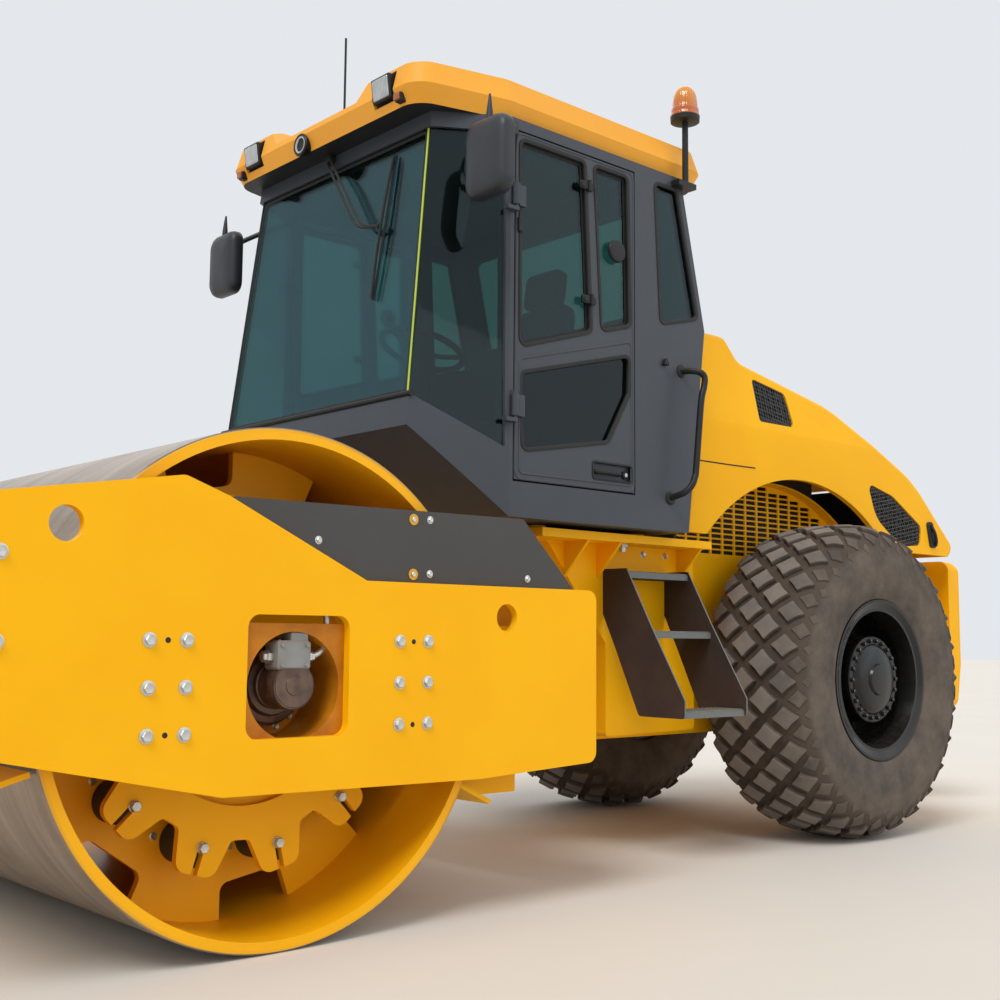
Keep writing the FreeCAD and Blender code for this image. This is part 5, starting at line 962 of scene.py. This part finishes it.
# vents: woven wire 6 mm inside the skin and black cloth behind each plate, and behind the tail's slots, as painted
# shade for the dark inside of the hood; the skin stands at y = 0.650 and leans in above z = 1.990
vent = {"side": [(-1.036, 2.249), (-1.304, 2.204), (-1.353, 2.032), (-1.061, 2.030)],
        "tail": [(-2.005, 1.806), (-2.255, 1.752), (-2.550, 1.600), (-2.532, 1.492), (-2.325, 1.474), (-2.083, 1.618)],
        "angles": {"side": (9.5, 83.5), "tail": (59, -11)}, "pitch": 0.020, "wire": 0.0014}
skin = lambda z: 0.650 - 0.1444 * np.maximum(0, z - 1.990)
wires = [wireMesh(vent[key], vent["pitch"], math.radians(angle), vent["wire"], lambda a, b: (a, skin(b) - 0.006, b))
         for key in ("side", "tail") for angle in vent["angles"][key]]
makePiece("vent_wires", pair(gather(wires)), wireSteel, "hood")
sheets = [filled(rounded([(a, b, 0.01) for a, b in vent[key]]), [(0.003, -0.001), (0.004, 0), (0.004, 0.001), (0.003, 0.002)],
                 lambda a, b, h: np.stack([a, skin(b) - 0.0210 + h, b], -1)) for key in ("side", "tail")]
makePiece("vent_filters", pair(gather(sheets)), ventShadeCloth, "hood")
# the black cloth behind the tail's slots, on their slope: painted shade for the dark inside of the hood
slope = {"top": (-2.455, 1.828), "down": (-0.7697, -0.6384), "out": (-0.6384, 0.7697), "long": 0.526, "half": 0.360}
lie = lambda a, b, h: np.stack([slope["top"][0] + a * slope["down"][0] + h * slope["out"][0], b,
                                slope["top"][1] + a * slope["down"][1] + h * slope["out"][1]], -1)
sheet = rounded([(0, -slope["half"], 0.01), (slope["long"], -slope["half"], 0.01), (slope["long"], slope["half"], 0.01), (0, slope["half"], 0.01)])
makePiece("tail_filter", filled(sheet, [(-0.001, -0.002), (0, -0.001), (0, 0.001), (-0.001, 0.002)], lie), ventShadeCloth, "hood")
print("steps, frame and hood dressed")

# operator's seat: a suspension base, then cushion, back and headrest as padded pieces
seat = {"base": ((-0.060, -0.180, 1.480), (0.340, 0.180, 1.800)),
        "cushion": {"centre": (0.150, 0.0, 1.868), "half": (0.245, 0.245, 0.060), "lean": 0.0},
        "back": {"centre": (-0.122, 0.0, 2.250), "half": (0.052, 0.225, 0.315), "lean": 0.186},
        "rest": {"centre": (-0.200, 0.0, 2.655), "half": (0.048, 0.122, 0.092), "lean": 0.15}}


def pad():
    # a rounded block: each direction's cosine raised to a small power
    u = np.linspace(-np.pi / 2, np.pi / 2, 49)[:, None]
    v = np.linspace(-np.pi, np.pi, 96, endpoint=False)[None]
    power = lambda value, e: np.sign(value) * np.abs(value) ** e
    x = power(np.cos(u), 0.30) * power(np.cos(v), 0.28)
    y = power(np.cos(u), 0.30) * power(np.sin(v), 0.28)
    z = power(np.sin(u), 0.30) + 0 * v
    return x, y, z


def padded(name, look, thin, material):
    x, y, z = pad()
    unit = np.stack([x, y, z], -1)
    half = np.array(look["half"])
    wide = [i for i in range(3) if i != thin]
    a, b = unit[..., wide[0]], unit[..., wide[1]]
    # crown along the thin direction, pulled-in sides, two sewn channels across
    unit[..., thin] *= 1.0 - 0.22 * (np.abs(a) ** 4 + np.abs(b) ** 4)
    unit[..., wide[0]] *= 1 - 0.035 * (1 - b ** 2)
    unit[..., wide[1]] *= 1 - 0.035 * (1 - a ** 2)
    channel = sum(np.exp(-((a - c) / 0.035) ** 2) for c in (-0.36, 0.36)) if look is not seat["rest"] else 0 * a
    unit[..., thin] *= 1 - 0.10 * channel
    points = unit * half
    turn = np.array(Matrix.Rotation(-look["lean"], 3, "Y"))
    points = points @ turn.T + np.array(look["centre"])
    piece = makePiece(name, grid(points, wrapV=True), material, "rear_frame", ["seat"], 70)
    return piece


padded("seat_cushion", seat["cushion"], 2, seatCloth)
padded("seat_back", seat["back"], 0, seatCloth)
padded("seat_headrest", seat["rest"], 0, seatCloth)
low, high = seat["base"]
folds = [box((low[0] + 0.01 * (i % 2), low[1] + 0.01 * (i % 2), z), (high[0] - 0.01 * (i % 2), high[1] - 0.01 * (i % 2), z + 0.028), 0.006)
         for i, z in enumerate(np.arange(low[2] + 0.06, high[2] - 0.02, 0.028))]
stem = [box(low, (high[0], high[1], low[2] + 0.06), 0.01)]
posts = [swept([(-0.19 + 0.006, s * 0.05, 2.50), (-0.195, s * 0.05, 2.62)], 0.007) for s in (1, -1)]
makePiece("seat_base", gather(folds + stem + posts), blackPlastic, "rear_frame", ["seat"])

# steering column and wheel
column = {"centre": (0.570, 0.0, 2.240), "radius": 0.190, "grip": 0.0145, "tilt": math.radians(19.3)}


def steeringWheel():
    # a torus with thumb swells, three dished spokes and a domed boss, tilted towards the seat
    a = np.linspace(0, 2 * np.pi, 72, endpoint=False)[:, None]
    b = np.linspace(0, 2 * np.pi, 14, endpoint=False)[None]
    grip = column["grip"] * (1 + 0.06 * np.cos(24 * a))
    far = column["radius"] + grip * np.cos(b)
    torus = grid(np.stack([far * np.cos(a), far * np.sin(a), grip * np.sin(b)], -1), wrapU=True, wrapV=True)
    parts = [torus, turned([(-0.050, 0), (-0.050, 0.030), (-0.018, 0.044), (0.006, 0.040), (0.012, 0.026), (0.013, 0)], 32)]
    for t in np.radians((0, 130, 230)):
        line = np.array([(r * math.cos(t), r * math.sin(t), h) for r, h in ((0.03, -0.014), (0.09, -0.018), (0.15, -0.008), (0.186, 0.0))])
        parts.append(swept(eased(line, 5), 0.011, (0, 0, 1), 10))
    points, quads = gather(parts)
    turn = np.array(Matrix.Rotation(-column["tilt"], 3, "Y"))
    return points @ turn.T + np.array(column["centre"]), quads


profile = rounded([(0.710, 1.480, 0.01), (0.590, 1.480, 0.01), (0.545, 2.195, 0.02), (0.610, 2.215, 0.02)], 4)
post = filled(profile, [(-0.010, -0.060), (0, -0.050), (0, 0.050), (-0.010, 0.060)], lambda a, b, h: np.stack([a, h, b], -1))
makePiece("steering_wheel", gather([steeringWheel(), post]), blackPlastic, "rear_frame", ["console"])
print("seat and steering made")

# camera at the photograph's viewing angle, floor, soft light
view = {"place": (4.1034, 4.4829, 0.9528), "yaw": 41.843, "pitch": 6.096, "roll": 0.504, "focalPixels": 1285.76}
yaw, pitch, roll = (math.radians(view[key]) for key in ("yaw", "pitch", "roll"))
ahead = Vector((-math.sin(yaw) * math.cos(pitch), -math.cos(yaw) * math.cos(pitch), math.sin(pitch)))
level = Vector((-math.cos(yaw), math.sin(yaw), 0))
rise = level.cross(ahead)
right = math.cos(roll) * level + math.sin(roll) * rise
upward = -math.sin(roll) * level + math.cos(roll) * rise
lens = bpy.data.cameras.new("camera")
lens.sensor_width = 36.0
lens.lens = view["focalPixels"] * 36.0 / 1000
lens.clip_end = 200
camera = bpy.data.objects.new("camera", lens)
bpy.context.scene.collection.objects.link(camera)
turnMatrix = Matrix((right, upward, -ahead)).transposed()
camera.matrix_world = Matrix.Translation(view["place"]) @ turnMatrix.to_4x4()
bpy.context.scene.camera = camera

ground, tree, shader = starting("pale_concrete", {"Roughness": 0.8, "Specular IOR Level": 0.2})
coords = add(tree, "TexCoord")
cloud = add(tree, "TexNoise", {"Vector": (coords, "Object"), "Scale": 0.6, "Detail": 6.0})
pale = add(tree, "Mix", {0: (cloud, 0), 6: linear("#D9D3CA"), 7: linear("#E2DDD5")}, data_type="RGBA")
tree.links.new(pale.outputs[2], shader.inputs["Base Color"])
mesh = bpy.data.meshes.new("floor")
mesh.from_pydata([(-60, -60, -0.001), (60, -60, -0.001), (60, 60, -0.001), (-60, 60, -0.001)], [], [(0, 1, 2, 3)])
mesh.materials.append(ground)
floor = bpy.data.objects.new("floor", mesh)
bpy.context.scene.collection.objects.link(floor)
floor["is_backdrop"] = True

suns = [("key", (0.95, 0.50, 1.30), 1.55, 24), ("fill", (-0.5, 0.9, 0.6), 0.40, 60), ("back", (-0.6, -0.8, 0.9), 0.45, 60)]
for name, towards, power, spread in suns:
    sun = bpy.data.lights.new(name, "SUN")
    sun.energy = power
    sun.angle = math.radians(spread)
    placed = bpy.data.objects.new(name, sun)
    placed.rotation_mode = "QUATERNION"
    placed.rotation_quaternion = Vector(towards).to_track_quat("Z", "Y")
    bpy.context.scene.collection.objects.link(placed)
world = bpy.data.worlds.new("soft_room")
bpy.context.scene.world = world
world.use_nodes = True
tree = world.node_tree
rays = add(tree, "LightPath")
glossy = add(tree, "Math", {0: (rays, "Is Camera Ray"), 1: (rays, "Is Glossy Ray")}, operation="MAXIMUM")
seen = add(tree, "Math", {0: (glossy, 0), 1: (rays, "Is Transmission Ray")}, operation="MAXIMUM")
lighting = add(tree, "Background", {"Color": linear("#FFFFFF"), "Strength": 0.64})
backdrop = add(tree, "Background", {"Color": linear("#E4E8EC"), "Strength": 1.0})
mixed = add(tree, "MixShader", {0: (seen, 0), 1: (lighting, 0), 2: (backdrop, 0)})
tree.links.new(mixed.outputs[0], tree.nodes["World Output"].inputs[0])
bpy.context.scene.view_settings.view_transform = "Standard"
print("camera, floor and light set")

low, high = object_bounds()
